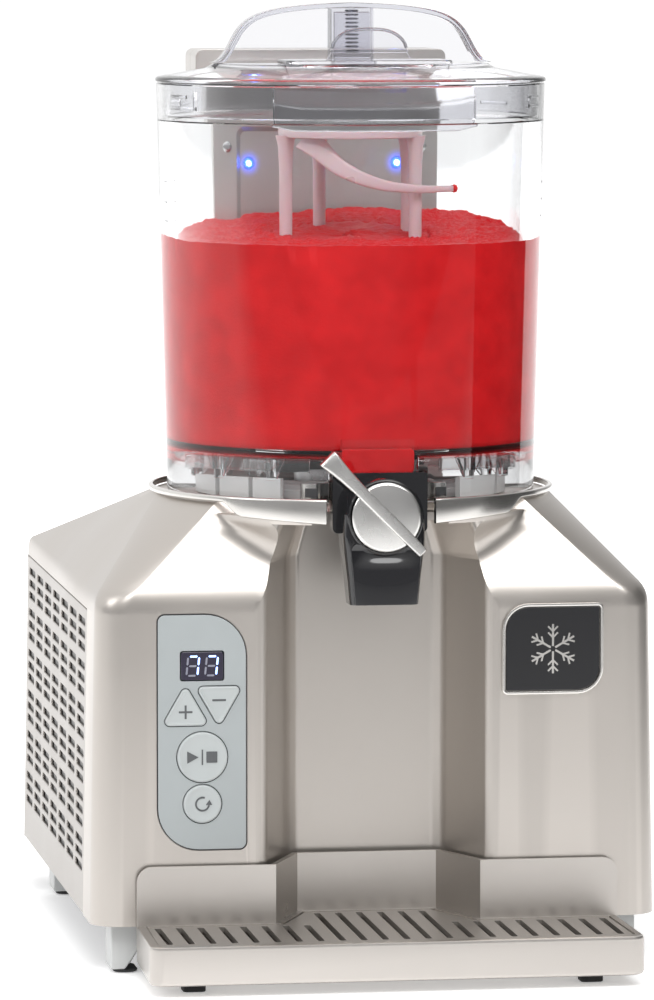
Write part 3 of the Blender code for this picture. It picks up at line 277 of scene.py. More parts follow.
PAINT = painted_metal("satin_champagne", (0.53, 0.495, 0.46), 0.33, 0.9)
# A darker copy of the housing's paint for the side plates: painted shade, as the sides take less light.
SHADED_SIDE_PAINT = painted_metal("satin_side_painted_shade", (0.43, 0.405, 0.38), 0.36, 0.9)
PAINT_TRAY = painted_metal("satin_champagne_tray", (0.52, 0.49, 0.46), 0.3, 0.9)
# A lighter copy of the housing's paint for the tower: painted light, as the tower sits in the tank's shade.
LIT_TOWER_PAINT = painted_metal("satin_tower_painted_light", (0.60, 0.575, 0.55), 0.32, 0.82)
SILVER = polished_metal("bright_silver", (0.74, 0.72, 0.69), 0.2, (1, 1, 6))
KNOB_METAL = polished_metal("turned_silver", (0.76, 0.75, 0.73), 0.24, (1, 1, 1), 1400)
GRILLE_METAL = painted_metal("grille_paint", (0.50, 0.47, 0.44), 0.34, 0.85)
STEEL = polished_metal("drawn_steel", (0.6, 0.6, 0.6), 0.28, (1, 1, 12))
DARK_STEEL = painted_metal("dark_zinc", (0.14, 0.14, 0.15), 0.42, 0.8, 0.12)
COPPER = polished_metal("copper_tube", (0.72, 0.36, 0.24), 0.3, (3, 3, 1), 400)
ENAMEL = moulded_plastic("compressor_enamel", (0.015, 0.015, 0.016), 0.4, 0.2, 600)
FINS = woven_fins("condenser_fins", (0.62, 0.62, 0.63))
CLEAR = clear_material("clear_copolyester", (0.975, 0.98, 0.985), 0.015, 1.49, gloss=0.32)
CLEAR_LID = clear_material("clear_lid", (0.945, 0.945, 0.965), 0.03, 1.45, 0.02)
EDGE = clear_material("lid_edge", (0.74, 0.745, 0.80), 0.05, 1.45, 0.02)
SMOKY = clear_material("smoky_column", (0.80, 0.80, 0.84), 0.12, 1.3, 0.06)
MILKY = moulded_plastic("milky_plastic", (0.74, 0.60, 0.62), 0.3, 0.05, 700,
                        Transmission_Weight=0.35, Subsurface_Weight=0.3, Subsurface_Scale=0.005)
BLACK = moulded_plastic("gloss_black", (0.008, 0.008, 0.010), 0.09, 0.015, 900, Coat_Weight=0.6)
MATT_BLACK = moulded_plastic("soft_black", (0.02, 0.02, 0.022), 0.45, 0.1, 900)
# Near black for the control panel's body: painted shade in the seams round the panel and its keys.
SEAM_SHADE = moulded_plastic("seam_shadow", (0.03, 0.03, 0.033), 0.7)
FACE_GREY = moulded_plastic("panel_overlay", (0.385, 0.415, 0.42), 0.34, 0.05, 1800)
KEY_GREY = moulded_plastic("key_overlay", (0.47, 0.50, 0.50), 0.3, 0.05, 1800)
INK = moulded_plastic("icon_ink", (0.10, 0.105, 0.11), 0.5)
GLASS_BLACK = moulded_plastic("display_window", (0.012, 0.008, 0.03), 0.06, 0.01, 500, Coat_Weight=1.0)
SEGMENT_LIT = lit_material("segment_lit", (0.30, 0.45, 1.0), 3.0)
SEGMENT_DIM = lit_material("segment_dim", (0.15, 0.155, 0.20), 0.3)
BLUE_LIGHT = lit_material("tower_light", (0.02, 0.07, 1.0), 5)
LIGHT_CORE = lit_material("tower_light_core", (0.30, 0.60, 1.0), 9)
PALE = moulded_plastic("pale_moulding", (0.58, 0.59, 0.585), 0.42, 0.12, 1200)
RUBBER = moulded_plastic("black_rubber", (0.02, 0.02, 0.021), 0.75, 0.3, 500)
BOARD = moulded_plastic("board_green", (0.02, 0.12, 0.05), 0.45, 0.3, 250)
SCREEN = moulded_plastic("filter_screen", (0.24, 0.235, 0.23), 0.6, 0.4, 420)
SLUSH = slush_material()


# ---------------------------------------------------------------- shape helpers

def loft(loops, mesh=None, caps=True):
    """A solid through loops of equal length, capped at both ends unless told otherwise."""
    mesh = mesh or bmesh.new()
    rings = [[mesh.verts.new(point) for point in loop] for loop in loops]
    count = len(rings[0])
    for low, high in zip(rings, rings[1:]):
        for i in range(count):
            j = (i + 1) % count
            mesh.faces.new((low[i], low[j], high[j], high[i]))
    if caps:
        mesh.faces.new(rings[0][::-1])
        mesh.faces.new(rings[-1])
    return mesh


def prism(outline, z0, z1, mesh=None):
    return loft([[(x, y, z) for x, y in outline] for z in (z0, z1)], mesh)


def slab(outline, y0, y1, mesh=None):
    """An outline of x and z, extruded along Y."""
    return loft([[(x, y, z) for x, z in outline] for y in (y0, y1)], mesh)


def block(x0, x1, y0, y1, z0, z1, mesh=None):
    return prism(((x0, y0), (x1, y0), (x1, y1), (x0, y1)), z0, z1, mesh)


def about(axis, centre, radius, angle, along):
    """A point at a radius and angle round an axis, and some way along it."""
    u, v = radius * math.cos(angle), radius * math.sin(angle)
    x, y, z = centre
    if axis == "X":
        return (x + along, y + u, z + v)
    if axis == "Y":
        return (x + u, y + along, z + v)
    return (x + u, y + v, z + along)


def turned(profile, centre=(0, 0, 0), axis="Z", steps=96, mesh=None):
    """Turns a closed profile of (radius, along) points about an axis."""
    mesh = mesh or bmesh.new()
    rings = []
    for radius, along in profile:
        if radius == 0:
            rings.append([mesh.verts.new(about(axis, centre, 0, 0, along))] * steps)
            continue
        angles = [2 * math.pi * i / steps for i in range(steps)]
        rings.append([mesh.verts.new(about(axis, centre, radius, a, along)) for a in angles])
    for first, second in zip(rings, rings[1:] + rings[:1]):
        for i in range(steps):
            j = (i + 1) % steps
            corners = list(dict.fromkeys((first[i], first[j], second[j], second[i])))
            if len(corners) > 2:
                mesh.faces.new(corners)
    return mesh


def rod(radius, low, high, centre=(0, 0, 0), axis="Z", steps=48, mesh=None):
    """A cylinder along an axis."""
    return turned([(0, low), (radius, low), (radius, high), (0, high)], centre, axis, steps, mesh)


def corner_arc(x, y, radius, start, steps):
    """A quarter turn about a centre, from a start angle in degrees."""
    angles = [math.radians(start + 90 * i / steps) for i in range(steps + 1)]
    return [(x + radius * math.cos(a), y + radius * math.sin(a)) for a in angles]


def rounded(x0, x1, y0, y1, radii, steps=8):
    """A rectangle with a radius for each corner: low-low, high-low, high-high, low-high."""
    a, b, c, d = radii if isinstance(radii, tuple) else (radii,) * 4
    return (
        corner_arc(x0 + a, y0 + a, a, 180, steps) + corner_arc(x1 - b, y0 + b, b, 270, steps)
        + corner_arc(x1 - c, y1 - c, c, 0, steps) + corner_arc(x0 + d, y1 - d, d, 90, steps)
    )


def front_outline(low, high, margin, radii, steps=8):
    """The rounded rectangle of x and z round a box, with a margin."""
    return rounded(low.x - margin, high.x + margin, low.z - margin, high.z + margin, radii, steps)


def front_centre(name):
    """The middle of a node as seen from the front, at y = 0."""
    low, high = near(name)
    return ((low.x + high.x) / 2, 0, (low.z + high.z) / 2)


def fillet(points, radii, steps=6):
    """The closed outline with each corner rounded to its radius."""
    count = len(points)
    made = []
    for i, corner in enumerate(points):
        corner = Vector(corner)
        before = Vector(points[i - 1]) - corner
        after = Vector(points[(i + 1) % count]) - corner
        radius = radii[i] if isinstance(radii, (list, tuple)) else radii
        if radius <= 0:
            made.append(tuple(corner))
            continue
        half = before.angle(after) / 2
        reach = min(radius / math.tan(half), before.length * 0.49, after.length * 0.49)
        a = corner + before.normalized() * reach
        b = corner + after.normalized() * reach
        centre = corner + (before.normalized() + after.normalized()).normalized() * (reach / math.cos(half))
        start, end = a - centre, b - centre
        turn = start.angle_signed(end)
        for k in range(steps + 1):
            angle = -turn * k / steps
            cos, sin = math.cos(angle), math.sin(angle)
            made.append((
                centre.x + start.x * cos - start.y * sin,
                centre.y + start.x * sin + start.y * cos,
            ))
    return made


def smooth_path(points, steps):
    """Catmull-Rom points through the given ones."""
    points = [Vector(p) for p in points]
    padded = [2 * points[0] - points[1], *points, 2 * points[-1] - points[-2]]
    path = []
    for a, b, c, d in zip(padded, padded[1:], padded[2:], padded[3:]):
        for i in range(steps):
            t = i / steps
            bend = (2 * a - 5 * b + 4 * c - d) * t ** 2 + (3 * b - a - 3 * c + d) * t ** 3
            path.append(0.5 * (2 * b + (c - a) * t + bend))
    return path + [points[-1]]


def swept(path, width, thickness, squareness, around):
    """A bar of rounded cross-section along a path. Width and thickness depend on the share of the way."""
    loops = []
    for i, point in enumerate(path):
        share = i / (len(path) - 1)
        ahead = path[min(i + 1, len(path) - 1)] - path[max(i - 1, 0)]
        side = ahead.cross(Vector((0, 1, 0))).normalized()
        deep = side.cross(ahead).normalized()
        loop = []
        for k in range(around):
            angle = 2 * math.pi * k / around
            c, s = math.cos(angle), math.sin(angle)
            u = math.copysign(abs(c) ** squareness, c) * width(share) / 2
            v = math.copysign(abs(s) ** squareness, s) * thickness(share) / 2
            loop.append(point + side * u + deep * v)
        loops.append(loop)
    return loft(loops)


def swung(section, start, end, steps, mesh=None):
    """Swings section(share), points of radius and z, about the tank's axis between two angles."""
    loops = []
    for i in range(steps + 1):
        angle = math.radians(start + (end - start) * i / steps)
        loops.append([about("Z", (0, 0, 0), r, angle, z) for r, z in section(i / steps)])
    return loft(loops, mesh)


def put(name, mesh, look, body, stands_for=(), bevel=0.0, smooth=38, segments=2):
    """An object from a bmesh in millimetres about the tank's axis, riding on a body of the frame."""
    bmesh.ops.recalc_face_normals(mesh, faces=mesh.faces)
    bmesh.ops.transform(mesh, matrix=INTO_FRAME, verts=mesh.verts)
    obj = into_object(name, mesh)
    obj.data.materials.append(look)
    obj.data.shade_smooth()
    obj.data.set_sharp_from_angle(angle=math.radians(smooth))
    if bevel:
        ease(obj, bevel * MM, segments)
    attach(obj, body)
    if stands_for:
        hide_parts(*stands_for)


def into_object(name, mesh):
    """A linked object from a bmesh, which is freed."""
    data = bpy.data.meshes.new(name)
    mesh.to_mesh(data)
    mesh.free()
    obj = bpy.data.objects.new(name, data)
    bpy.context.scene.collection.objects.link(obj)
    return obj


def ease(obj, width, segments):
    """Rounds an object's sharp edges and keeps its flats flat."""
    modifier = obj.modifiers.new("ease", "BEVEL")
    modifier.width = width
    modifier.segments = segments
    modifier.limit_method = "ANGLE"
    modifier.angle_limit = math.radians(35)
    modifier.use_clamp_overlap = True
    weighted = obj.modifiers.new("flats", "WEIGHTED_NORMAL")
    weighted.keep_sharp = True


def settle(obj):
    """Turns an object's modifiers into its mesh."""
    bpy.context.view_layer.update()
    evaluated = obj.evaluated_get(bpy.context.evaluated_depsgraph_get())
    made = bpy.data.meshes.new_from_object(evaluated)
    obj.modifiers.clear()
    obj.data = made


def combine(mesh, others, operation="DIFFERENCE"):
    """The bmesh with others cut out of it or joined on, as a new bmesh."""
    base = loose(mesh)
    helpers = []
    for other in others:
        helper = loose(other)
        helpers.append(helper)
        modifier = base.modifiers.new("combine", "BOOLEAN")
        modifier.operation = operation
        modifier.solver = "EXACT"
        modifier.object = helper
    settle(base)
    made = bmesh.new()
    made.from_mesh(base.data)
    for obj in [base, *helpers]:
        bpy.data.objects.remove(obj, do_unlink=True)
    return made


def loose(mesh):
    """A passing object for a bmesh, while it is being shaped."""
    bmesh.ops.recalc_face_normals(mesh, faces=mesh.faces)
    return into_object("loose", mesh)


# ---------------------------------------------------------------- housing

CORNER = 16.5
SIDE_FRONT_ANGLE = 184
APEX_ANGLE = 219.3
SIDE_REAR_ANGLE = 170
BACK_ANGLE = 97
SHELL_WALL = 2.6
REAR_HALF = near("rear_panel")[1].x + 0.35
REAR_LOW = near("rear_panel")[0].z - 0.35
REAR_HIGH = near("rear_panel")[1].z + 0.35
TOWER_LOW, TOWER_HIGH = near("tower_front")
BACK_LOW, BACK_HIGH = near("tower_rear")


def body_outline(half, inset):
    """The housing in plan: points with the deck angle that each leads up to, or None on the front."""
    steps = 16
    radius = CORNER - inset
    x = half - CORNER
    front, rear = FRONT_Y + CORNER, BODY_REAR - CORNER
    corners = (
        (-x, front, 180, SIDE_FRONT_ANGLE, APEX_ANGLE),
        (x, front, 270, 540 - APEX_ANGLE, 540 - SIDE_FRONT_ANGLE),
        (x, rear, 0, 540 - SIDE_REAR_ANGLE, 540 - BACK_ANGLE),
        (-x, rear, 90, 360 + BACK_ANGLE, 360 + SIDE_REAR_ANGLE),
    )
    rounds = []
    for cx, cy, start, low, high in corners:
        arc = corner_arc(cx, cy, radius, start, steps)
        shares = [(i / steps) ** 2 * (3 - 2 * i / steps) for i in range(steps + 1)]
        rounds.append([(*p, low + (high - low) * share) for p, share in zip(arc, shares)])
    points = rounds[0] + between(rounds[0][-1], rounds[1][0], 56, None)
    points += rounds[1] + between(rounds[1][-1], rounds[2][0], 8, 0)
    points += rounds[2] + between(rounds[2][-1], rounds[3][0], 8, 0)
    return points + rounds[3] + between(rounds[3][-1], rounds[0][0], 8, 360)


def between(start, end, count, turn):
    """Points between two outline points. turn is added to the end's angle, or is None for no angle."""
    made = []
    for i in range(1, count):
        t = i / count
        angle = None if turn is None else start[2] + (end[2] + turn - start[2]) * t
        made.append((start[0] + (end[0] - start[0]) * t, start[1] + (end[1] - start[1]) * t, angle))
    return made


def deck_outline(plan, radius):
    """Where the plan's points meet the deck: on its circle, or on the chord along the front."""
    ends = [about("Z", (0, 0, 0), radius, math.radians(a), 0) for a in (APEX_ANGLE, 540 - APEX_ANGLE)]
    flat = [i for i, point in enumerate(plan) if point[2] is None]
    made = []
    for i, (_, _, angle) in enumerate(plan):
        if angle is None:
            t = (i - flat[0] + 1) / (len(flat) + 1)
            made.append((ends[0][0] + (ends[1][0] - ends[0][0]) * t, ends[0][1]))
        else:
            x, y, _ = about("Z", (0, 0, 0), radius, math.radians(angle), 0)
            made.append((x, y))
    return made


def eased_corner(before, corner, after, reach):
    """A smooth turn at a corner of a profile."""
    a = corner + (before - corner).normalized() * reach
    b = corner + (after - corner).normalized() * reach
    turn = []
    for t in (0.0, 0.2, 0.4, 0.6, 0.8, 1.0):
        turn.append(a * (1 - t) ** 2 + corner * 2 * t * (1 - t) + b * t ** 2)
    return turn


def bowl_radius(height):
    """The flared bowl's radius under the collar, at a height above the floor."""
    for (r0, z0), (r1, z1) in zip(BOWL, BOWL[1:]):
        if height <= z1:
            break
    return r0 + (r1 - r0) * (height - z0) / (z1 - z0)


def flared(point, inset):
    """A roof point, moved out where the bowl overhangs it, with a soft blend between the two."""
    below = BOWL_TOP - inset - point.z
    if below < -0.01:
        return point
    reach = math.hypot(point.x, point.y)
    bowl = bowl_radius(point.z + inset) - inset
    blend = min(max(1.6 * below, 0.01), 12)
    share = max(blend - abs(reach - bowl), 0) / blend
    wide = max(reach, bowl) + share ** 2 * blend / 4
    return Vector((point.x * wide / reach, point.y * wide / reach, point.z))


def body_form(inset, bottom):
    """The housing's walls and hipped roof with an eased fold, or with an inset the space inside them."""
    low = body_outline(BODY_HALF, inset)
    high = body_outline(BODY_HALF - DRAFT, inset)
    columns = []
    for (x0, y0, _), (x1, y1, _), (x2, y2) in zip(low, high, deck_outline(high, DECK_RADIUS - inset)):
        foot = Vector((x0, y0, bottom))
        fold = Vector((x1, y1, FOLD_Z - inset / 2))
        top = Vector((x2, y2, DECK_Z - inset))
        turn = eased_corner(foot, fold, top, FOLD_EASE)
        start, brim = turn[-1], BOWL_TOP - inset
        heights = [start.z + (brim - start.z) * i / 18 for i in range(1, 19)] + [brim + 0.4, top.z]
        slope = [flared(start.lerp(top, (z - start.z) / (top.z - start.z)), inset) for z in heights]
        columns.append([foot] + turn + slope)
    mesh = loft([list(level) for level in zip(*columns)])
    bmesh.ops.triangulate(mesh, faces=mesh.faces)
    return mesh


BAY_HALF = 59.2
BAY_BACK_HALF = 42
BAY_BACK = -52
BAY_STRAIGHT = 214
BAY_CEILING = 235.5
SPOUT_Z = near("tap_body")[0].z


def bay_form(wall):
    """The cup bay, or with a wall the block round it, with its corners rounded."""
    flare = 0 if wall else 14
    face = FRONT_Y - 0.02
    side = [(BAY_HALF + wall + flare, FRONT_Y - 60), (BAY_HALF + wall + flare, face)]
    if flare:
        side.append((BAY_HALF, face))
    side += [(BAY_BACK_HALF + wall, BAY_BACK + wall / 2), (BAY_BACK_HALF - 6 + wall, BAY_BACK + 4 + wall)]
    radii = [0, 0] + ([8] if flare else []) + [10, 5]
    outline = fillet(side + [(-x, y) for x, y in side[::-1]], radii + radii[::-1])
    levels = ((-10, 1.0), (BAY_STRAIGHT, 1.0), (BAY_STRAIGHT + 3, 0.985), (BAY_CEILING + wall, 0.84))
    mesh = loft([[(x * share, y, z) for x, y in outline] for z, share in levels])
    bmesh.ops.triangulate(mesh, faces=mesh.faces)
    return mesh


def housing():
    """The painted shell: a hollow body with its bay, and the openings for everything fitted to it."""
    room = combine(body_form(SHELL_WALL, BODY_BOTTOM - 10), [bay_form(SHELL_WALL)])
    skin = combine(body_form(0, BODY_BOTTOM), [room])
    pad = block(TOWER_LOW.x, TOWER_HIGH.x, TOWER_LOW.y - 0.6, BACK_HIGH.y, 219, DECK_Z - 0.2)
    skin = combine(skin, [pad], "UNION")
    deep = 14
    openings = bmesh.new()
    for side in (-1, 1):
        x0, x1 = sorted((side * (BODY_HALF - deep), side * (BODY_HALF + deep)))
        block(x0, x1, PANEL_LOW.y - 0.35, PANEL_HIGH.y + 0.35, BODY_BOTTOM - deep, PANEL_HIGH.z + 0.7,
              openings)
    slab(rounded(-REAR_HALF, REAR_HALF, REAR_LOW, REAR_HIGH, 4), BODY_REAR - deep, BODY_REAR + deep,
         openings)
    rod(33, DECK_Z - deep, DECK_Z + deep, mesh=openings)
    notch = block(-36, 36, -130, -80, SPOUT_Z, DECK_Z + deep)
    pocket = slab(panel_outline(0.4), FRONT_Y - deep, FRONT_Y + 1.4)
    holes = control_holes(0.5, FRONT_Y - deep, FRONT_Y + deep)
    for cut in (bay_form(0), openings, notch, pocket, holes):
        skin = combine(skin, [cut])
    put("housing_skin", skin, PAINT, "root", ("housing_shell",), 0.9, 30)


def leaning_plate(side, outline, depths):
    """A plate along the housing's leaning side, between two depths below its face."""
    lean = DRAFT / (FOLD_Z - BODY_BOTTOM)
    return loft([
        [(side * (BODY_HALF - (z - BODY_BOTTOM) * lean - depth), y, z) for y, z in outline]
        for depth in depths
    ])


def side_panel(name, side):
    """A side plate with six groups of three slots, in seven columns, and a screen behind them."""
    low, high = near(name)
    plate = leaning_plate(side, rounded(low.y, high.y, low.z, high.z, 3), (1.4, 0))
    slots = bmesh.new()
    x0, x1 = sorted((side * 138, side * 158))
    for column in range(7):
        y = -38 + 41 * column
        for row in range(18):
            group, step = divmod(row, 3)
            z = 47.3 + 23.3 * group + 6.8 * step
            shape = rounded(y, y + 33, z, z + 3.9, 1.9, 4)
            loft([[(x, u, v) for u, v in shape] for x in (x0, x1)], slots)
    plate = combine(plate, [slots])
    put(name + "_plate", plate, SHADED_SIDE_PAINT, "root", (name,), 0.4, 30)
    screen = leaning_plate(side, rounded(low.y + 3, high.y - 3, 42, 184, 1, 2), (2.5, 1.8))
    put(name + "_screen", screen, SCREEN, "root")


def rear_panel():
    """The rear plate with its vents, the inlet's hole and four screws."""
    low, high = near("rear_panel")
    plate = slab(front_outline(low, high, 0, 3.6), low.y, high.y)
    cuts = bmesh.new()
    for row in range(9):
        z = 90 + 9.5 * row
        for x in (-66, 0, 66):
            slab(rounded(x - 30, x + 30, z, z + 4.5, 2.2, 4), low.y - 8, high.y + 8, cuts)
    slab(front_outline(*near("power_inlet"), 0.4, 2), low.y - 8, high.y + 8, cuts)
    plate = combine(plate, [cuts])
    put("rear_plate", plate, PAINT, "root", ("rear_panel",), 0.5, 30)
    screws = bmesh.new()
    for x in (low.x + 7, high.x - 7):
        for z in (low.z + 7, high.z - 7):
            screw_head(screws, (x, high.y - 1.9, z), 1, 3, 1.7)
    put("rear_screws", screws, STEEL, "root")


def screw_head(mesh, centre, way, radius, height):
    """A domed screw head with a cross slot, facing -Y (way -1) or +Y (way 1)."""
    profile = [(0, 0), (radius, 0), (radius, way * height * 0.35), (radius * 0.8, way * height * 0.8),
               (radius * 0.45, way * height), (radius * 0.4, way * height * 0.5), (0, way * height * 0.5)]
    turned(profile, centre, "Y", 28, mesh)


def collar(name, start, end):
    """One side of the bright ring round the tank's foot: deep along the front, and dipping at the tap."""
    high_z = near(name)[1].z
    inner, outer = DECK_RADIUS + 0.35, DECK_RADIUS + 2.95
    low, back = 240.4, DECK_Z + 0.35

    def section(share):
        off_front = abs(start - 270) + abs(end - start) * share
        shallow = min(max((off_front - 41) / 6.5, 0.0), 1.0)
        bottom = low + (back - low) * shallow * shallow * (3 - 2 * shallow)
        bottom -= (2 + 4.5 * max(0.0, 1 - off_front / 42) ** 1.2) * (1 - shallow)
        return rounded(inner, outer, bottom, high_z, (0.4, 0.9, 1.2, 0.5), 3)

    put(name + "_band", swung(section, start, end, 108), SILVER, "root", (name,))


def tower():
    """The light tower: a front cover with a sunk panel, and a plain rear cover."""
    wall, depth, slope = 2.4, 3, 2.4
    sunk_half, sunk_top = 52.4, 435
    half, low, top = TOWER_HIGH.x, TOWER_LOW.z, TOWER_HIGH.z
    shape = rounded(-half, half, low, top, (0.8, 0.8, 4, 4), 6)
    inner = rounded(-half + wall, half - wall, low + wall, top - wall, 2, 4)
    wide = rounded(-sunk_half, sunk_half, low - 6, sunk_top, (1, 1, 5, 5), 6)
    narrow = rounded(-sunk_half + slope, sunk_half - slope, low - 6, sunk_top - slope, (1, 1, 3.4, 3.4), 6)
    recess = loft([
        [(x, y, z) for x, z in outline]
        for outline, y in ((wide, TOWER_LOW.y - 2), (wide, TOWER_LOW.y), (narrow, TOWER_LOW.y + depth))
    ])
    holes = bmesh.new()
    for side in ("left", "right"):
        a, b = near("light_lens_" + side)
        rod((b.x - a.x) / 2 + 0.4, 95, 120, front_centre("light_lens_" + side), "Y", 32, holes)
        rod(1.9, 95, 120, front_centre("tower_screw_" + side), "Y", 20, holes)
    cover = slab(shape, TOWER_LOW.y, TOWER_HIGH.y)
    for cut in (slab(inner, TOWER_LOW.y + depth + wall, TOWER_HIGH.y + 9), recess, holes):
        cover = combine(cover, [cut])
    put("tower_front_cover", cover, LIT_TOWER_PAINT, "root", ("tower_front",), 0.28, 30)
    rear = slab(shape, BACK_LOW.y, BACK_HIGH.y)
    rear = combine(rear, [slab(inner, BACK_LOW.y - 9, BACK_HIGH.y - wall)])
    put("tower_rear_cover", rear, LIT_TOWER_PAINT, "root", ("tower_rear",), 1.0, 30)
    for side in ("left", "right"):
        light(side)
        a, b = near("tower_screw_" + side)
        x, _, z = front_centre("tower_screw_" + side)
        head = bmesh.new()
        screw_head(head, (x, a.y + 1.3, z), -1, 3.1, 1.25)
        rod(1.5, a.y + 1.2, b.y, (x, 0, z), "Y", 20, head)
        put("tower_screw_head_" + side, head, STEEL, "root", ("tower_screw_" + side,))


def light(side):
    """A lit lens: a domed blue rim with a bright core, and a blue glow on the cover round it."""
    name = "light_lens_" + side
    a, b = near(name)
    x, _, z = centre = front_centre(name)
    radius, front = (b.x - a.x) / 2, a.y
    rim = [(radius * 0.55, front + 0.5)]
    rim += [(radius * (0.55 + 0.45 * t), front + 0.3 + 1.2 * t * t) for t in (0.2, 0.5, 0.8, 1.0)]
    rim += [(radius, b.y), (radius * 0.55, b.y)]
    put("light_rim_" + side, turned(rim, centre, "Y", 40), BLUE_LIGHT, "root", (name,))
    core = [(0, front), (radius * 0.3, front + 0.1), (radius * 0.5, front + 0.45), (radius * 0.5, b.y - 1),
            (0, b.y - 1)]
    put("light_core_" + side, turned(core, centre, "Y", 32), LIGHT_CORE, "root")
    face = TOWER_LOW.y + 3
    glow = [(radius + 0.6, face - 0.05), (9.5, face - 0.05), (9.5, face + 0.3), (radius + 0.6, face + 0.3)]
    put("light_glow_" + side, turned(glow, centre, "Y", 48), glow_material(side, (x, face, z)), "root")


def glow_material(side, centre):
    """The tower's paint round a lamp, lit blue and fading outwards."""
    # Its base colour is the tower's lighter paint, a painted-light copy of the housing's paint.
    made, nodes, links, shader = shader_nodes("glow_" + side, (0.60, 0.575, 0.55), 0.34, 0.82,
                                              Emission_Strength=1.3)
    reach = nodes.new("ShaderNodeVectorMath")
    reach.operation = "DISTANCE"
    reach.inputs[1].default_value = INTO_FRAME @ Vector(centre)
    links.new(place_of(nodes, links), reach.inputs[0])
    share = remap(nodes, links, reach.outputs["Value"], 3.2 * MM, 9.2 * MM, 1.0, 0.0)
    soft = nodes.new("ShaderNodeMath")
    soft.operation = "POWER"
    soft.inputs[1].default_value = 2.2
    links.new(share, soft.inputs[0])
    links.new(blend_colours(nodes, links, soft.outputs["Value"], (0, 0, 0), (0.05, 0.13, 1.0)),
              shader.inputs["Emission Color"])
    return made


# ---------------------------------------------------------------- controls and badge

DISPLAY_LOW, DISPLAY_HIGH = near("display_module")
PANEL_X = front_centre("display_module")[0]
ARROW_Z = 141
ARROW_OFFSET = 8.8


def panel_outline(margin):
    big, small = 22 + margin, 4 + margin
    return front_outline(FACE_LOW, FACE_HIGH, margin, (big, small, big, small), 10)


def display_outline(margin):
    return front_outline(DISPLAY_LOW, DISPLAY_HIGH, margin, 1.4, 4)


def arrow_centre(way):
    """Where an arrow key's middle is: -1 is the left one, pointing up, and 1 the right one, down."""
    return PANEL_X + way * ARROW_OFFSET, ARROW_Z + way * 3


def arrow_outline(way, margin):
    """A triangle with rounded corners."""
    centre_x, centre_z = arrow_centre(way)
    radius = 2.4 + margin
    points = []
    for corner in range(3):
        heading = math.radians(-90 * way + 120 * corner)
        x = centre_x + 9.6 * math.cos(heading)
        z = centre_z + 9.6 * math.sin(heading)
        for i in range(7):
            angle = heading + math.radians(-60 + 20 * i)
            points.append((x + radius * math.cos(angle), z + radius * math.sin(angle)))
    return points


def control_holes(margin, y0, y1):
    """Cutters for the display and the four keys."""
    mesh = bmesh.new()
    for outline in (display_outline(margin), arrow_outline(-1, margin), arrow_outline(1, margin)):
        slab(outline, y0, y1, mesh)
    for name in ("button_run", "button_mode"):
        low, high = near(name)
        rod((high.x - low.x) / 2 + margin, y0, y1, front_centre(name), "Y", 56, mesh)
    return mesh


def controls():
    """The panel in its seam, and on it the display and the four keys; the panel's near-black body paints
    the shade in the seams.
    """
    front = FACE_LOW.y
    # The near-black body shows only in the seams, as painted shade.
    seam_shade_body = slab(panel_outline(0), front + 0.25, FACE_HIGH.y)
    seam_shade_body = combine(seam_shade_body, [control_holes(0.3, front - 9, front + 9)])
    put("panel_seam_shade", seam_shade_body, SEAM_SHADE, "root", ("control_panel",))
    overlay = slab(panel_outline(-0.4), front, front + 0.9)
    overlay = combine(overlay, [control_holes(0.45, front - 9, front + 9)])
    put("panel_overlay", overlay, FACE_GREY, "root", (), 0.3)
    display()
    for name, way in (("button_up", -1), ("button_down", 1)):
        arrow_button(name, way)
    for name in ("button_run", "button_mode"):
        round_button(name)


def display():
    """A dark window with two seven-bar figures."""
    low, high = DISPLAY_LOW, DISPLAY_HIGH
    glass = slab(display_outline(0), low.y, high.y)
    put("display_window", glass, GLASS_BLACK, "root", ("display_module",), 0.35)
    face = low.y - 0.12
    middle = (low.z + high.z) / 2
    lit, dim = bmesh.new(), bmesh.new()
    for centre in (-4.9, 4.9):
        segments(lit, dim, PANEL_X + centre, middle, face)
    put("display_lit", lit, SEGMENT_LIT, "root")
    put("display_dim", dim, SEGMENT_DIM, "root")


def segments(lit, dim, x, z, face):
    """One figure of seven bars, of which the top and the two right ones are lit."""
    half_w, half_h, bar, lean = 2.9, 5.0, 0.5, 0.10
    across = 2.1
    for level, on in ((half_h, True), (0, False), (-half_h, False)):
        shape = [(-across, 0), (-across + bar, bar), (across - bar, bar), (across, 0),
                 (across - bar, -bar), (-across + bar, -bar)]
        outline = [(x + u + lean * (v + level), z + v + level) for u, v in shape]
        slab(outline, face, face + 0.14, lit if on else dim)
    tall = half_h / 2 - 0.35
    for side in (-1, 1):
        for level in (-half_h / 2, half_h / 2):
            shape = [(0, -tall), (bar, -tall + bar), (bar, tall - bar), (0, tall), (-bar, tall - bar),
                     (-bar, -tall + bar)]
            outline = [(x + side * half_w + u + lean * (v + level), z + v + level) for u, v in shape]
            slab(outline, face, face + 0.14, lit if side > 0 else dim)


def arrow_button(name, way):
    """A triangular key with a plus (way -1) or a minus (way 1)."""
    low, high = near(name)
    loops = []
    for inset, y in ((0, high.y), (0, low.y + 0.6), (-0.3, low.y + 0.2), (-0.8, low.y),
                     (-1.6, low.y + 0.3), (-2.0, low.y + 0.45)):
        loops.append([(x, y, z) for x, z in arrow_outline(way, inset)])
    body = name.replace("button", "key")
    put(name + "_cap", loft(loops), KEY_GREY, body, (name,))
    x, z = arrow_centre(way)
    face = low.y + 0.36
    mark = bmesh.new()
    slab(rounded(x - 3.6, x + 3.6, z - 0.55, z + 0.55, 0.2, 2), face, face + 0.2, mark)
    if way < 0:
        for z0, z1 in ((z + 0.55, z + 3.6), (z - 3.6, z - 0.55)):
            slab(rounded(x - 0.55, x + 0.55, z0, z1, 0.15, 2), face, face + 0.2, mark)
    put(name + "_mark", mark, INK, body)


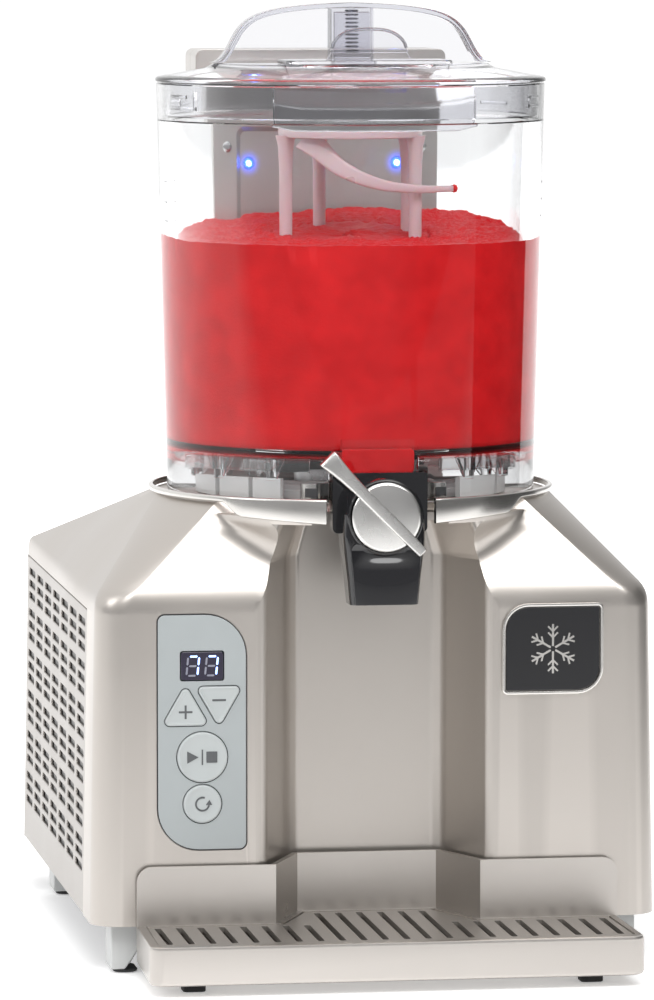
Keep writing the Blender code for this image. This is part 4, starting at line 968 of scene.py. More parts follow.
def round_button(name):
    """A round key: play and stop signs, or an open ring."""
    low, high = near(name)
    x, _, z = centre = front_centre(name)
    radius, front = (high.x - low.x) / 2, low.y
    profile = [(0, front + 0.65), (radius * 0.5, front + 0.6), (radius - 2.6, front + 0.42),
               (radius - 1.7, front + 0.1), (radius - 1.0, front), (radius - 0.4, front + 0.18),
               (radius, front + 0.7), (radius, high.y), (0, high.y)]
    body = name.replace("button", "key")
    put(name + "_cap", turned(profile, centre, "Y", 64), KEY_GREY, body, (name,))
    face = front + 0.32
    mark = bmesh.new()
    if name == "button_run":
        for outline in ([(x - 8.0, z - 3.2), (x - 2.1, z), (x - 8.0, z + 3.2)],
                        rounded(x - 0.4, x + 0.3, z - 4, z + 4, 0.1, 2),
                        rounded(x + 2.1, x + 7.8, z - 2.9, z + 2.9, 0.2, 2)):
            slab(outline, face, face + 0.4, mark)
    else:
        ring_mark(mark, x, z, face)
    put(name + "_mark", mark, INK, body)


def ring_mark(mesh, x, z, face):
    """An open ring with an arrow head: start over."""
    section = ((3.0, face), (3.9, face), (3.9, face + 0.4), (3.0, face + 0.4))
    loops = []
    for i in range(29):
        angle = math.radians(70 + 10 * i)
        loops.append([(x + r * math.cos(angle), y, z + r * math.sin(angle)) for r, y in section])
    loft(loops, mesh)
    tip = math.radians(352)
    cx, cz = x + 3.45 * math.cos(tip), z + 3.45 * math.sin(tip)
    slab([(cx - 1.7, cz), (cx + 1.7, cz), (cx + 0.2, cz + 2.6)], face, face + 0.4, mesh)


def badge():
    """The badge: a bright rim, a black face and a plain ice crystal."""
    low, high = near("badge_frame")
    radii = (3, 14, 3, 14)
    rim = 1.7
    loops = []
    for inset, y in ((0, high.y), (0, low.y + 0.5), (0.15, low.y + 0.15), (0.55, low.y),
                     (rim - 0.5, low.y), (rim - 0.15, low.y + 0.15), (rim, low.y + 0.5), (rim, high.y)):
        section = front_outline(low, high, -inset, tuple(max(r - inset, 0.8) for r in radii))
        loops.append([(x, y, z) for x, z in section])
    frame_mesh = loft(loops + loops[:1], caps=False)
    bmesh.ops.remove_doubles(frame_mesh, verts=frame_mesh.verts, dist=0.001)
    put("badge_rim", frame_mesh, SILVER, "root", ("badge_frame",))
    a, b = near("badge_plate")
    plate = slab(front_outline(a, b, 0, tuple(max(r - 2.05, 0.8) for r in radii)), a.y, b.y)
    put("badge_face", plate, BLACK, "root", ("badge_plate",), 0.3)
    x, _, z = front_centre("badge_plate")
    mark = bmesh.new()
    flake(mark, x, z, 13, a.y)
    put("badge_mark", mark, SILVER, "root")


def flake(mesh, x, z, size, face):
    """A plain six-armed ice crystal, raised a little."""
    centre = Vector((x, z))
    half = 0.55
    for arm in range(6):
        angle = math.radians(30 + 60 * arm)
        along = Vector((math.cos(angle), math.sin(angle)))
        across = Vector((-along.y, along.x))
        near_end, far_end = centre + along * 1.4, centre + along * size
        line = [near_end - across * half, far_end - across * half, far_end + across * half,
                near_end + across * half]
        slab([tuple(p) for p in line], face - 0.25, face + 0.1, mesh)
        for start in (0.45, 0.7):
            for side in (-1, 1):
                root = centre + along * size * start + across * side * half
                way = (along + across * side).normalized()
                thick = Vector((way.y, -way.x)) * 0.9 * side
                tip = root + way * size * 0.26
                branch = [root, tip, tip + thick, root + thick]
                slab([tuple(p) for p in branch], face - 0.24, face + 0.09, mesh)


# ---------------------------------------------------------------- drip tray

TRAY_LOW, TRAY_HIGH = near("drip_tray")
TRAY_TOP = 26.6
TRAY_BOTTOM = 5.8
TRAY_REAR = -93.4
TRAY_BACK = TRAY_HIGH.y


def tray_corners(inset):
    """The tray in plan: wide at the front, with a narrower part reaching back into the cup bay."""
    slant = 1.08 * inset
    half, rear_half, back_half, neck = TRAY_HIGH.x, 127.4, 39.5, 56.5
    return (
        (-half + inset, TRAY_LOW.y + inset), (half - inset, TRAY_LOW.y + inset),
        (rear_half - inset, TRAY_REAR - inset), (neck - slant, TRAY_REAR - inset),
        (back_half - slant, TRAY_BACK - inset), (slant - back_half, TRAY_BACK - inset),
        (slant - neck, TRAY_REAR - inset), (inset - rear_half, TRAY_REAR - inset),
    )


def tray_plan(inset):
    radii = [max(r - inset * 0.6, 1) for r in (7, 7, 2.4, 2.4, 5, 5, 2.4, 2.4)]
    return fillet(tray_corners(inset), radii)


def drip_tray():
    """The tray: a shallow basin with a splash wall behind it, on four feet."""
    rows = [(2.2, TRAY_BOTTOM), (0.7, TRAY_BOTTOM + 0.7), (0, TRAY_BOTTOM + 2.4),
            (0, TRAY_TOP - 2), (0.5, TRAY_TOP - 0.6), (1.6, TRAY_TOP)]
    tray = loft([[(x, y, z) for x, y in tray_plan(inset)] for inset, z in rows])
    back = tray_corners(0)[2:]
    front = tray_corners(2.2)[2:]
    ends = [(back[0][0], front[0][1])] + list(front[1:-1]) + [(back[-1][0], front[-1][1])]
    splash = prism(list(back) + ends[::-1], TRAY_BOTTOM + 9, TRAY_HIGH.z)
    trims = bmesh.new()
    for side in (-1, 1):
        x, z, r = back[0][0], TRAY_HIGH.z, 8
        arc = corner_arc(x - r, z - r, r, 0, 8)
        outline = [(x + 2, z - r), (x + 2, z + 2), (x - r, z + 2)] + arc[::-1]
        slab([(side * u, v) for u, v in outline], -110, -80, trims)
    splash = combine(splash, [trims])
    tray = combine(tray, [splash], "UNION")
    tray = combine(tray, [prism(tray_plan(4.5), TRAY_TOP - 3.5, TRAY_TOP + 9)])
    tray = combine(tray, [prism(tray_plan(8), TRAY_BOTTOM + 3, TRAY_TOP + 9)])
    put("drip_tray_body", tray, PAINT_TRAY, "tray", ("drip_tray",), 0.7, 30)
    feet = bmesh.new()
    for x in (-110, 98):
        for y in (-148, -112):
            outline = rounded(x, x + 12, y, y + 12, 2.5, 4)
            prism(outline, 0, TRAY_BOTTOM + 1, feet)
    put("tray_feet", feet, RUBBER, "tray", (), 0.6)


def drip_grille():
    """The slotted plate that lies in the tray."""
    low, high = near("drip_grille")
    rows = [(4.9, low.z + 0.1), (4.9, high.z - 0.7), (5.6, high.z)]
    grille = loft([[(x, y, z) for x, y in tray_plan(inset)] for inset, z in rows])
    slots = bmesh.new()
    count, pitch, width = 22, 11.2, 3.5
    for i in range(count):
        x = pitch * (i - (count - 1) / 2)
        back = -64 if abs(x) < 30 else -103
        prism(rounded(x - width / 2, x + width / 2, -156, back, width / 2.05, 4), 0, 40, slots)
    grille = combine(grille, [slots])
    put("drip_grille_plate", grille, GRILLE_METAL, "grille", ("drip_grille",), 0.4, 30)


def feet():
    """Four wedge-shaped legs with ribs, on rubber pads."""
    for side, side_name in ((-1, "left"), (1, "right")):
        for end_name in ("front", "rear"):
            low, high = near(f"foot_{end_name}_{side_name}")
            inner, outer = sorted((abs(low.x), abs(high.x)))
            shape = [(inner + 16, low.z), (outer, low.z), (outer, high.z), (inner, high.z)]
            leg = slab([(side * x, z) for x, z in shape], low.y, high.y)
            rib_y = (low.y + high.y) / 2
            for y in (rib_y - 7, rib_y + 7):
                slab([(side * (inner + 4), high.z), (side * (inner + 15), low.z + 2),
                      (side * (inner + 13), low.z + 2), (side * inner, high.z)],
                     y - 0.8, y + 0.8, leg)
            put(f"foot_leg_{end_name}_{side_name}", leg, PALE, "root",
                (f"foot_{end_name}_{side_name}",), 0.8, 30)
            a, b = near(f"pad_{end_name}_{side_name}")
            pad = loft([
                [(x, y, z) for x, y in rounded(a.x + e, b.x - e, a.y + e, b.y - e, 4, 6)]
                for e, z in ((1.2, 0), (0.3, 0.5), (0, 1.5), (0, b.z))
            ])
            put(f"foot_pad_{end_name}_{side_name}", pad, RUBBER, "root",
                (f"pad_{end_name}_{side_name}",))


# ---------------------------------------------------------------- tank

TANK_LOW, TANK_HIGH = near("tank_outer_wall")
TANK_WALL = 2.4
VESSEL_LOW, VESSEL_HIGH = near("tank_inner_vessel")
VESSEL_WALL = 2.2
FLOOR_Z = 270
FLOOR_THICKNESS = 3
SLUSH_LOW, SLUSH_HIGH = near("slush_fill")
SWEEP_RADIUS = 42
RAISED = 3
SLUSH_FLOOR = 273.2
SUMP_FRONT = -91.5


def tank_radius(z):
    rise = (z - TANK_LOW.z) / (TANK_HIGH.z - TANK_LOW.z)
    return 98 + 5.4 * rise


def tank_bore(z):
    return tank_radius(z) - TANK_WALL


def vessel_bore(z):
    """The vessel's inside radius at a height."""
    rise = (z - FLOOR_Z) / (VESSEL_HIGH.z - FLOOR_Z)
    return 91 + 5.5 * rise - VESSEL_WALL


def tank_walls():
    """The tank's wall and the vessel in it, moulded as one thick clear piece."""
    low, high = TANK_LOW.z, TANK_HIGH.z + RAISED
    top, floor = VESSEL_HIGH.z, SLUSH_FLOOR - FLOOR_THICKNESS
    profile = [(tank_radius(low) - 0.4, low), (tank_radius(low), low + 0.4)]
    profile += [(tank_radius(z), z) for z in (low + 12, low + 80, high - 60, high - 0.5)]
    profile += [(tank_radius(high) - 0.5, high), (tank_bore(high) + 0.5, high),
                (tank_bore(high), high - 0.5), (tank_bore(top), top + 0.3), (tank_bore(top) - 0.3, top),
                (vessel_bore(top) + 0.5, top), (vessel_bore(top), top - 0.5)]
    profile += [(vessel_bore(z), z) for z in (top - 50, top - 110, floor + 6)]
    profile += [(vessel_bore(floor + 4) - 0.6, floor + 3.8), (vessel_bore(floor + 3) - 1.8, SLUSH_FLOOR),
                (36, SLUSH_FLOOR), (36, floor), (tank_bore(floor) - 4, floor),
                (tank_bore(floor) - 1, floor - 0.5), (tank_bore(floor), floor - 2.4),
                (tank_bore(low), low + 0.4), (tank_bore(low) + 0.4, low)]
    wall = turned(profile, steps=160)
    door = slab(rounded(-26, 26, 226, 263.2, (1, 1, 2, 2), 5), -120, -91.9)
    wall = combine(wall, [door])
    sump = VESSEL_LOW.z
    box = slab(rounded(-21, 21, sump, floor + 1, (3, 3, 0.5, 0.5), 5), -96.6, -60)
    wall = combine(wall, [box], "UNION")
    well = slab(rounded(-18.8, 18.8, sump + 2.2, floor + 9, (2, 2, 0.5, 0.5), 5), SUMP_FRONT, -62)
    wall = combine(wall, [well])
    put("tank_wall", wall, CLEAR, "tank", ("tank_outer_wall", "tank_inner_vessel"))
    tank_posts()
    tank_marks()


def tank_posts():
    """Under the vessel's floor: posts with three gussets each, and a stepped ring."""
    posts = bmesh.new()
    top = SLUSH_FLOOR - FLOOR_THICKNESS - 0.2
    for angle in (207, 232, 308, 333, 20, 60, 120, 160):
        centre = about("Z", (0, 0, 0), 84, math.radians(angle), 0)
        rod(3.2, 257, top, centre, "Z", 20, posts)
        for turn in (-90, 90, 180):
            side = math.radians(angle + turn)
            across = Vector((-math.sin(side), math.cos(side), 0)) * 0.8
            corners = [about("Z", centre, reach, side, z) for reach, z in ((3, 258), (3, top), (9, top))]
            loft([[Vector(c) + shift for c in corners] for shift in (-across, across)], posts)
    put("tank_posts", posts, CLEAR, "tank", (), 0.25)
    ring = turned([(86.6, 262), (88.4, 262), (88.6, top), (86.4, top)])
    ring = combine(ring, [block(-34, 34, -110, -40, 240, 290)])
    put("tank_under_ring", ring, CLEAR, "tank")


def tank_marks():
    """Plain fill marks on the tank's wall: a line and a tick at each of three levels, on both sides."""
    marks = bmesh.new()
    up = Vector((0, 0, 1))
    for angle, levels in ((187, (411, 400, 390)), (345, (410, 401, 392))):
        for index, level in enumerate(levels):
            line = 1.7 if index == 1 else 1.3
            for turn, half, tall in ((0, line, 0.22), (1.9, 0.6, 0.5)):
                out = Vector(about("Z", (0, 0, 0), 1, math.radians(angle + turn), 0))
                across, rise = Vector((-out.y, out.x, 0)) * half, up * tall
                c = out * (tank_radius(level) + 0.02) + up * level
                quad = [c - across - rise, c + across - rise, c + across + rise, c - across + rise]
                loft([quad, [p + out * 0.12 for p in quad]], marks)
    put("tank_marks", marks, INK, "tank")


def slush_level(x, y):
    """The slush's uneven top: a low front rim, and a mound behind and to the right."""
    radius, back, right = math.hypot(x, y) / 92, y / 92, x / 92
    rise = 6.0 * max(0.0, back + 0.35) + 5.0 * max(0.0, back + 0.1) * max(0.0, right + 0.25)
    place = Vector((x, y, 0)) * MM
    rough = noise.fractal(place * 42, 0.9, 2.0, 4) * 1.9 + noise.fractal(place * 260, 0.8, 2.1, 3) * 1.1
    grains = noise.noise(place * 900) * 0.8
    fade = min(1.0, (1.0 - radius) * 9) if y < 0 else 1.0
    return rise + (rough + grains) * max(0.25, fade)


def circle(radius, steps):
    angles = [2 * math.pi * k / steps for k in range(steps)]
    return [(radius * math.cos(a), radius * math.sin(a)) for a in angles]


def join_rings(mesh, rings):
    """Faces between each ring of vertices and the next."""
    for a, b in zip(rings, rings[1:]):
        for k in range(len(a)):
            j = (k + 1) % len(a)
            mesh.faces.new((a[k], b[k], b[j], a[j]))


def slush():
    """The pack of slush in the vessel, with an uneven top, and the slush in the sump."""
    low, top, floor = SLUSH_LOW.z, SLUSH_HIGH.z, SLUSH_FLOOR - FLOOR_THICKNESS
    rim_radius = vessel_bore(top) + 0.1
    mesh = bmesh.new()
    count, steps = 74, 320
    rings = []
    for i in range(count + 1):
        points = circle(SWEEP_RADIUS + (rim_radius - SWEEP_RADIUS) * i / count, steps)
        edge = 0 if i else 1.2
        rings.append([
            mesh.verts.new((x, y, min(top - 4.2 + slush_level(x, y) - edge, 402))) for x, y in points
        ])
    heights = [low + (top - low) * share for share in (0.85, 0.6, 0.3, 0.08)] + [floor + 6]
    foot = SLUSH_FLOOR - 0.1
    sides = [(vessel_bore(z) + 0.1, z) for z in heights]
    sides += [(vessel_bore(floor + 4) - 0.5, floor + 3.8), (vessel_bore(floor + 3) - 1.7, foot),
              (SWEEP_RADIUS, foot)]
    for radius, z in sides:
        rings.append([mesh.verts.new((x, y, z)) for x, y in circle(radius, steps)])
    join_rings(mesh, rings + rings[:1])
    put("slush_pack", mesh, SLUSH, "tank", ("slush_fill",), 0, 80)
    inner_slush()
    sump = slab(rounded(-18.9, 18.9, VESSEL_LOW.z + 2.1, foot + 1, 2, 4), SUMP_FRONT - 0.1, -61.9)
    put("slush_in_sump", sump, SLUSH, "tank", (), 0.5)


def inner_slush():
    """The slush between the turning frame's posts: it shares the top's roughness and turns with them."""
    mesh = bmesh.new()
    count, start = 12, 4.2
    top = SLUSH_HIGH.z - 4.6
    rings = []
    for i in range(count + 1):
        points = circle(start + (SWEEP_RADIUS - 0.3 - start) * i / count, 160)
        rings.append([mesh.verts.new((x, y, top + slush_level(x, y))) for x, y in points])
    base = [[mesh.verts.new((v.co.x, v.co.y, top - 12)) for v in ring] for ring in (rings[-1], rings[0])]
    join_rings(mesh, rings + base + rings[:1])
    put("slush_between_posts", mesh, SLUSH, "agitator", (), 0, 80)


# ---------------------------------------------------------------- agitator

AGITATOR_TOP = near("agitator_frame")[1].z
POST_ANGLES = (190, 109, 333, 23)


def agitator():
    """The stirring frame: a hub on the drum, four posts, a cap disc, a lower ring and a curved blade."""
    low, high = DRUM_TOP + 1.6, DRUM_TOP + 7
    hub = [(4.4, low), (38, low), (40, low + 1.6), (40, high - 1), (38.6, high), (4.4, high)]
    put("agitator_hub", turned(hub, steps=72), MILKY, "agitator", ("agitator_frame",))
    rows = ((3.9, 279.5), (3.5, 290), (3.3, 340), (3.5, 415), (4.2, 429), (5.6, 434.5))
    for index, angle in enumerate(POST_ANGLES):
        foot = about("Z", (0, 0, 0), 36.1, math.radians(angle), 0)
        post = loft([[about("Z", foot, r, 2 * math.pi * k / 24, z) for k in range(24)] for r, z in rows])
        put(f"agitator_post_{index}", post, MILKY, "agitator")
    top = AGITATOR_TOP
    cap = turned([(0, top - 1.8), (34, top - 2.4), (36.6, top - 4.6), (38, top - 4.2), (38.6, top - 2),
                  (38.2, top + 0.8), (36.4, top + 2.2), (30, top + 2.4), (0, top + 2)])
    put("agitator_cap", cap, MILKY, "agitator")
    ring = turned([(33.4, 279), (39.6, 279), (39.6, 284), (33.4, 284)])
    put("agitator_ring", ring, MILKY, "agitator", (), 0.8)
    path = smooth_path([(-27, -19, 434), (-20, -23, 427.5), (-8, -28, 417), (10, -30, 409.5),
                        (31, -25, 406.5), (54, -12, 406)], 10)
    blade = swept(path, lambda t: 11 * (1 - t) ** 1.5 + 3.4, lambda t: 3.2 * (1 - 0.25 * t), 0.7, 20)
    put("agitator_blade", blade, MILKY, "agitator", ("agitator_arm",))
    drop = turned([(0, -2.2), (1.4, -1.8), (2.1, 0), (1.5, 1.8), (0, 2.3)], tuple(path[-1]), "Z", 20)
    put("agitator_tip", drop, SLUSH, "agitator")


# ---------------------------------------------------------------- lid

LID_LOW, LID_HIGH = near("lid_cover")
LID_TOP = LID_HIGH.z
HANDLE_HIGH = near("lid_handle")[1]
FLANGE_Z = 462.7 + RAISED


def lid():
    """The clear lid: a flat table with a filling hole, a sloping flange and a skirt inside the tank."""
    radius, top, table = LID_HIGH.x, LID_TOP, 74
    rest = TANK_HIGH.z + RAISED + 0.4
    outer, inner, skirt = 99.4, 97, LID_LOW.z
    profile = [
        (0, top - 2), (0, top), (table - 3, top), (table - 0.6, top - 0.3), (table + 1.4, top - 1.6),
        (table + 4, top - 2.7), (96, FLANGE_Z + 1.3), (radius - 1.6, FLANGE_Z + 0.3),
        (radius - 0.4, FLANGE_Z - 0.3), (radius, FLANGE_Z - 1.1), (radius, rest + 0.6),
        (radius - 0.5, rest), (outer, rest), (outer, skirt + 0.6), (outer - 0.6, skirt),
        (inner + 0.6, skirt), (inner, skirt + 0.6), (inner, FLANGE_Z - 1.4), (inner - 0.8, FLANGE_Z - 0.9),
        (table + 2, top - 4.4), (table - 1, top - 2.4), (table - 3, top - 2),
    ]
    hole = prism(rounded(-36, 36, -64, -35, 5, 6), 460, 480)
    cover = combine(turned(profile, steps=144), [hole])
    put("lid_shell", cover, CLEAR_LID, "lid", ("lid_cover",))

    def baffle(share):
        low = 441.5 - 2.2 * min(1, min(share, 1 - share) * 9)
        return rounded(92.6, 95.2, low, FLANGE_Z - 3, 0.8, 3)

    put("lid_baffle", swung(baffle, -123.5, -56.5, 60), CLEAR_LID, "lid")
    lugs = bmesh.new()
    for start, end, low, high in ((193, 207, 449, 451), (193, 199, 449, 457), (196.5, 203, 455, 457),
                                  (207, 208.2, 449, 459), (329, 341, 450, 452), (329, 330, 450, 456),
                                  (330, 341, 455, 456.4), (20, 34, 449, 451), (146, 160, 449, 451)):
        lug = rounded(99.6, 100.5, low, high, 0.25, 2)
        swung(lambda share: lug, start, end, 12, lugs)
    put("lid_lugs", lugs, CLEAR_LID, "lid")
    handle()
    hatch()


def handle_line(inset):
    """The arch over the lid, from its right foot over the crown to its left foot, inset as asked."""
    base = LID_TOP + 0.35
    half = [(HANDLE_HIGH.x, base), (71.2, 474.6), (67.2, 479.2), (63.8, 485.4), (60.4, 491), (55.4, 495.9),
            (48.6, 499.4), (38, 502), (22, 503.9), (0, 505)]
    line = [(p.x, p.y) for p in smooth_path(half, 8)]
    line += [(-x, z) for x, z in line[-2::-1]]
    moved = []
    for i, (x, z) in enumerate(line):
        ahead = Vector(line[min(i + 1, len(line) - 1)]) - Vector(line[max(i - 1, 0)])
        inward = Vector((-ahead.y, ahead.x)).normalized()
        moved.append((x + inward.x * inset, max(z + inward.y * inset, base)))
    return moved


def handle():
    """A clear arch with a thick rim, a thin web and a ribbed column in the middle."""
    deep = 8
    loops = []
    for (x0, z0), (x1, z1) in zip(handle_line(0.02), handle_line(2.6)):
        a, b = Vector((x0, 0, z0)), Vector((x1, 0, z1))
        section = []
        for t, y in ((0.1, -1), (0, -0.93), (0, 0.93), (0.1, 1), (0.9, 1), (1, 0.93), (1, -0.93),
                     (0.9, -1)):
            p = a + (b - a) * t
            section.append((p.x, y * deep, p.z))
        loops.append(section)
    put("handle_rim", loft(loops), EDGE, "lid", ("lid_handle",))
    foot = LID_TOP + 0.4
    web = [p for p in handle_line(2.5) if p[1] > foot]
    web = [(web[0][0], foot)] + web + [(web[-1][0], foot)]
    put("handle_web", slab(web, -1.1, 1.1), CLEAR_LID, "lid")
    column = slab(rounded(-11.4, 11.4, LID_TOP + 0.5, 502.2, 0.6, 3), -6.8, 6.8)
    hollow = slab(rounded(-9.6, 9.6, LID_TOP + 2.4, 500, 0.6, 3), -5.2, -1.6)
    column = combine(column, [hollow])
    put("handle_column", column, SMOKY, "lid", (), 0.5)
    thread = bmesh.new()
    for i in range(11):
        z = 479 + 2.1 * i
        tooth = [(3.0, z), (3.9, z + 0.5), (3.0, z + 1.1), (0, z + 1.1), (0, z)]
        turned(tooth, (0, -3.4, 0), "Z", 24, thread)
    put("handle_thread", thread, SMOKY, "lid")


def hatch():
    """The filling hatch: a plate with an upright tab that has a rim and a shelf for the finger."""
    low, high = near("fill_hatch")
    base, top = low.z, low.z + 2.2
    plan = rounded(low.x, high.x, low.y, high.y, (6, 6, 2, 2), 6)
    plate = loft([
        [(x, y, base) for x, y in plan],
        [(x, y, top - 0.7) for x, y in plan],
        [(x * 0.985, low.y + (y - low.y) * 0.99 + 0.3, top) for x, y in plan],
    ])
    put("hatch_plate", plate, CLEAR_LID, "hatch", ("fill_hatch",), 0.3)
    right = [(23, 475.2), (20.5, 479), (19.6, 482), (18.6, 484.8), (16, 487.8), (12, 490.2), (7, 491.5)]
    outline = [(-23, 475.2)] + right + [(0, 491.8)] + [(-x, z) for x, z in right[:0:-1]]
    middle = low.y + 7.5
    tab = slab(outline, middle - 1, middle + 1)
    put("hatch_tab", tab, CLEAR_LID, "hatch", (), 0.4)
    upper = smooth_path([(x, middle, z) for x, z in outline[3:] if z > 481], 4)
    rim = swept(upper, lambda t: 1.7, lambda t: 3.0, 2 / 2.6, 12)
    put("hatch_tab_rim", rim, EDGE, "hatch")
    shelf = slab(rounded(-20.4, 20.4, 479.3, 481.5, 0.8, 3), middle - 2.6, middle + 2.6)
    put("hatch_tab_shelf", shelf, CLEAR_LID, "hatch", (), 0.4)


# ---------------------------------------------------------------- tap

KNOB_FRONT = near("tap_lever")[0].y
TAP_LOW, TAP_HIGH = near("tap_body")
TAP_Z = 241
KNOB_RADIUS = 18


def tap():
    """The tap: a flange against the tank, a round valve body and a hollow spout under it."""
    flange = rounded(TAP_LOW.x + 1.5, TAP_HIGH.x - 1.5, 231, 262.4, (3, 3, 1.4, 1.4), 6)
    body = slab(flange, -100, TAP_HIGH.y)
    body = combine(body, [rod(19.8, -118, -98, (0, 0, TAP_Z), "Y", 96)], "UNION")
    rows = ((242, 20.8, -116.6, -95), (232, 21.4, -117.4, -95.6), (226, 21.2, -118, -96.2),
            (220, 20.6, -117.4, -97), (210, 19.4, -117.2, -98), (195, 18.0, -117.2, -99))
    loops = []
    for z, half, front, back in rows:
        corners = [(-half, back), (-half, front), (half, front), (half, back)]
        loops.append([(x, y, z) for x, y in fillet(corners, (1.5, 5, 5, 1.5))])
    body = combine(body, [loft(loops)], "UNION")
    body = combine(body, [block(-14, 14, -115.6, -102.5, 180, 236)])
    body = combine(body, [rod(9.4, -130, -98.6, (0, 0, TAP_Z), "Y", 48)])
    put("tap_housing", body, BLACK, "tank", ("tap_body",), 0.9, 30, 3)
    seal = turned([(4.4, -92.3), (6.6, -92.3), (6.6, -91), (4.4, -91)], (0, 0, 250), "Y", 48)
    put("tap_seal_ring", seal, RUBBER, "tank", ("tap_seal",), 0.3)
    lip = [(18.6, -118), (19.8, -118), (19.8, -119.2), (19.3, -119.6), (18.6, -119.3)]
    put("tap_ring", turned(lip, (0, 0, TAP_Z), "Y", 96), BLACK, "tank")
    scoop()
    knob()


def hollow_at(down):
    """How deep the shield's hollow is, in millimetres, at a distance below its top edge."""
    if down < 3.5:
        return 3.0 * math.sin(math.pi / 2 * down / 3.5)
    if down < 14:
        return 0.3 + 1.35 * (1 + math.cos(math.pi * (down - 3.5) / 10.5))
    return max(0.3 * (31.6 - down) / 17.6, 0.0)


def scoop():
    """The raised shield on the spout's front, with a hollow face."""
    low, high = 195.4, 227.0
    loops = []
    for i in range(37):
        share = i / 36
        half = 18.6 - 2.4 * share - 2.6 * max(0.0, 1 - share * 9) ** 2
        hollow = hollow_at((high - low) * share)
        loop = []
        for k in range(25):
            u = -1 + k / 12
            rim = -118.9 - 1.5 * math.sin(math.pi * (0.15 + 0.55 * share)) - 0.5 * (1 - u * u)
            loop.append((half * u, rim + hollow * (1 - abs(u) ** 3.5)))
        loop += [(half, -116.8), (-half, -116.8)]
        loops.append([(x, y, high - (high - low) * share) for x, y in loop])
    put("tap_shield", loft(loops), BLACK, "tank", (), 0.3, 30)


def knob():
    """The tap's round knob and the slanting lever across it."""
    face, back = -122.4, -119.8
    profile = [(0, face), (KNOB_RADIUS - 1.5, face), (KNOB_RADIUS - 0.6, face + 0.25),
               (KNOB_RADIUS, face + 1.0), (KNOB_RADIUS, back), (0, back)]
    disc = turned(profile, (0, 0, TAP_Z), "Y", 96)
    put("knob_disc", disc, KNOB_METAL, "tap", ("tap_lever",))
    along, across = Vector((-1, 1)).normalized(), Vector((1, 1)).normalized()
    rows = ((-26.3, 2.2, 0.8), (-25.6, 2.7, 1.0), (-18, 3.0, 1.0), (-8, 3.1, 1.0), (8, 3.1, 1.0),
            (22, 3.2, 1.0), (32, 3.8, 1.0), (40, 4.8, 0.95), (43.4, 5.3, 0.8), (44.4, 5.0, 0.6))
    loops = []
    base = face + 1.4
    for reach, half, share in rows:
        lead = KNOB_FRONT + (1 - share) * 5
        loop = []
        for w, y in ((-1, base), (-1, lead + 1.1), (-0.9, lead + 0.35), (-0.65, lead), (0.65, lead),
                     (0.9, lead + 0.35), (1, lead + 1.1), (1, base)):
            p = along * reach + across * half * w
            loop.append((p.x, y, p.y + TAP_Z))
        loops.append(loop)
    put("knob_fin", loft(loops), KNOB_METAL, "tap", (), 0.25, 30)


def bracket():
    """The tap's silver bracket, each corner as round as its edges allow, with a black bar at each end that
    paints the shade in a slot.
    """
    low, high = near("tap_bracket")
    corners = [(-38, -84), (-30, -88), (-30, -70), (30, -70), (30, -88), (38, -84), (38, -64), (-38, -64)]
    piece = prism(fillet(corners, 1000, 2), low.z, high.z)
    bmesh.ops.remove_doubles(piece, verts=piece.verts, dist=0.3)
    put("bracket_plate", piece, SILVER, "root", ("tap_bracket",), 0.1)
    # Black bars stand in for the slots: painted shade, not openings.
    slots = bmesh.new()
    for side in (-1, 1):
        a, b = Vector((side * 30.9, -87.9)), Vector((side * 37, -84.9))
        out = Vector((b.y - a.y, a.x - b.x)).normalized() * side
        quad = [a - out * 0.5, b - out * 0.5, b + out * 0.15, a + out * 0.15]
        prism([tuple(p) for p in quad], low.z + 3, high.z - 2.4, slots)
    put("bracket_slot_shade", slots, MATT_BLACK, "root")


def plinth():
    """Inside the tank's foot: pale plates with gaps between them, stepped rings and a seal."""
    low, high = near("plinth_ring")
    plates = bmesh.new()
    section = rounded(79, 82.5, low.z, high.z, (0.3, 0.3, 0.9, 0.9), 3)
    for start, end in ((-55, -32), (-29, 20), (23, 88), (91, 157), (160, 202), (205, 221), (223, 235)):
        swung(lambda share: section, start, end, max(4, int((end - start) / 3)), plates)
    put("plinth_plates", plates, PALE, "root", ("plinth_ring",))
    rings = bmesh.new()
    for radius, top in ((70, 251.5), (66, 254.5), (62, 257)):
        turned([(radius - 1.6, low.z), (radius, low.z), (radius, top - 0.6), (radius - 0.6, top),
                (radius - 1.6, top)], mesh=rings)
    put("stepped_rings", rings, PALE, "root")
    seal = turned([(46, 246), (58, 246), (58, 249.5), (56, 251), (48, 251), (46, 249.5)])
    put("foot_seal", seal, RUBBER, "root")


# ---------------------------------------------------------------- works kept from the CAD

def works():
    """The inner pieces keep their CAD shape and take detailed finishes."""
    looks = {
        "base_pan": DARK_STEEL, "power_inlet": MATT_BLACK, "evaporator_drum": STEEL, "gearbox": DARK_STEEL,
        "gear_motor": STEEL, "drive_shaft": STEEL, "compressor": ENAMEL, "condenser": FINS,
        "fan_shroud": MATT_BLACK, "fan_motor": DARK_STEEL, "fan_rotor": PALE, "filter_drier": COPPER,
        "refrigerant_pipe": COPPER, "tank_gasket": RUBBER, "valve_plug": PALE,
        "control_board": BOARD,
    }
    for name, look in looks.items():
        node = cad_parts[name]
        node.data.materials.clear()
        node.data.materials.append(look)
        node.data.shade_smooth()
        node.data.set_sharp_from_angle(angle=math.radians(35))


# ---------------------------------------------------------------- studio

def area(name, place, target, size, power):
    """A soft rectangular lamp that faces a target."""
    data = bpy.data.lights.new(name, "AREA")
    data.shape = "RECTANGLE"
    data.size, data.size_y = size
    data.energy = power
    lamp = bpy.data.objects.new(name, data)
    bpy.context.scene.collection.objects.link(lamp)
    lamp.location = place
    lamp.rotation_euler = (Vector(target) - Vector(place)).to_track_quat("-Z", "Y").to_euler()
    return lamp


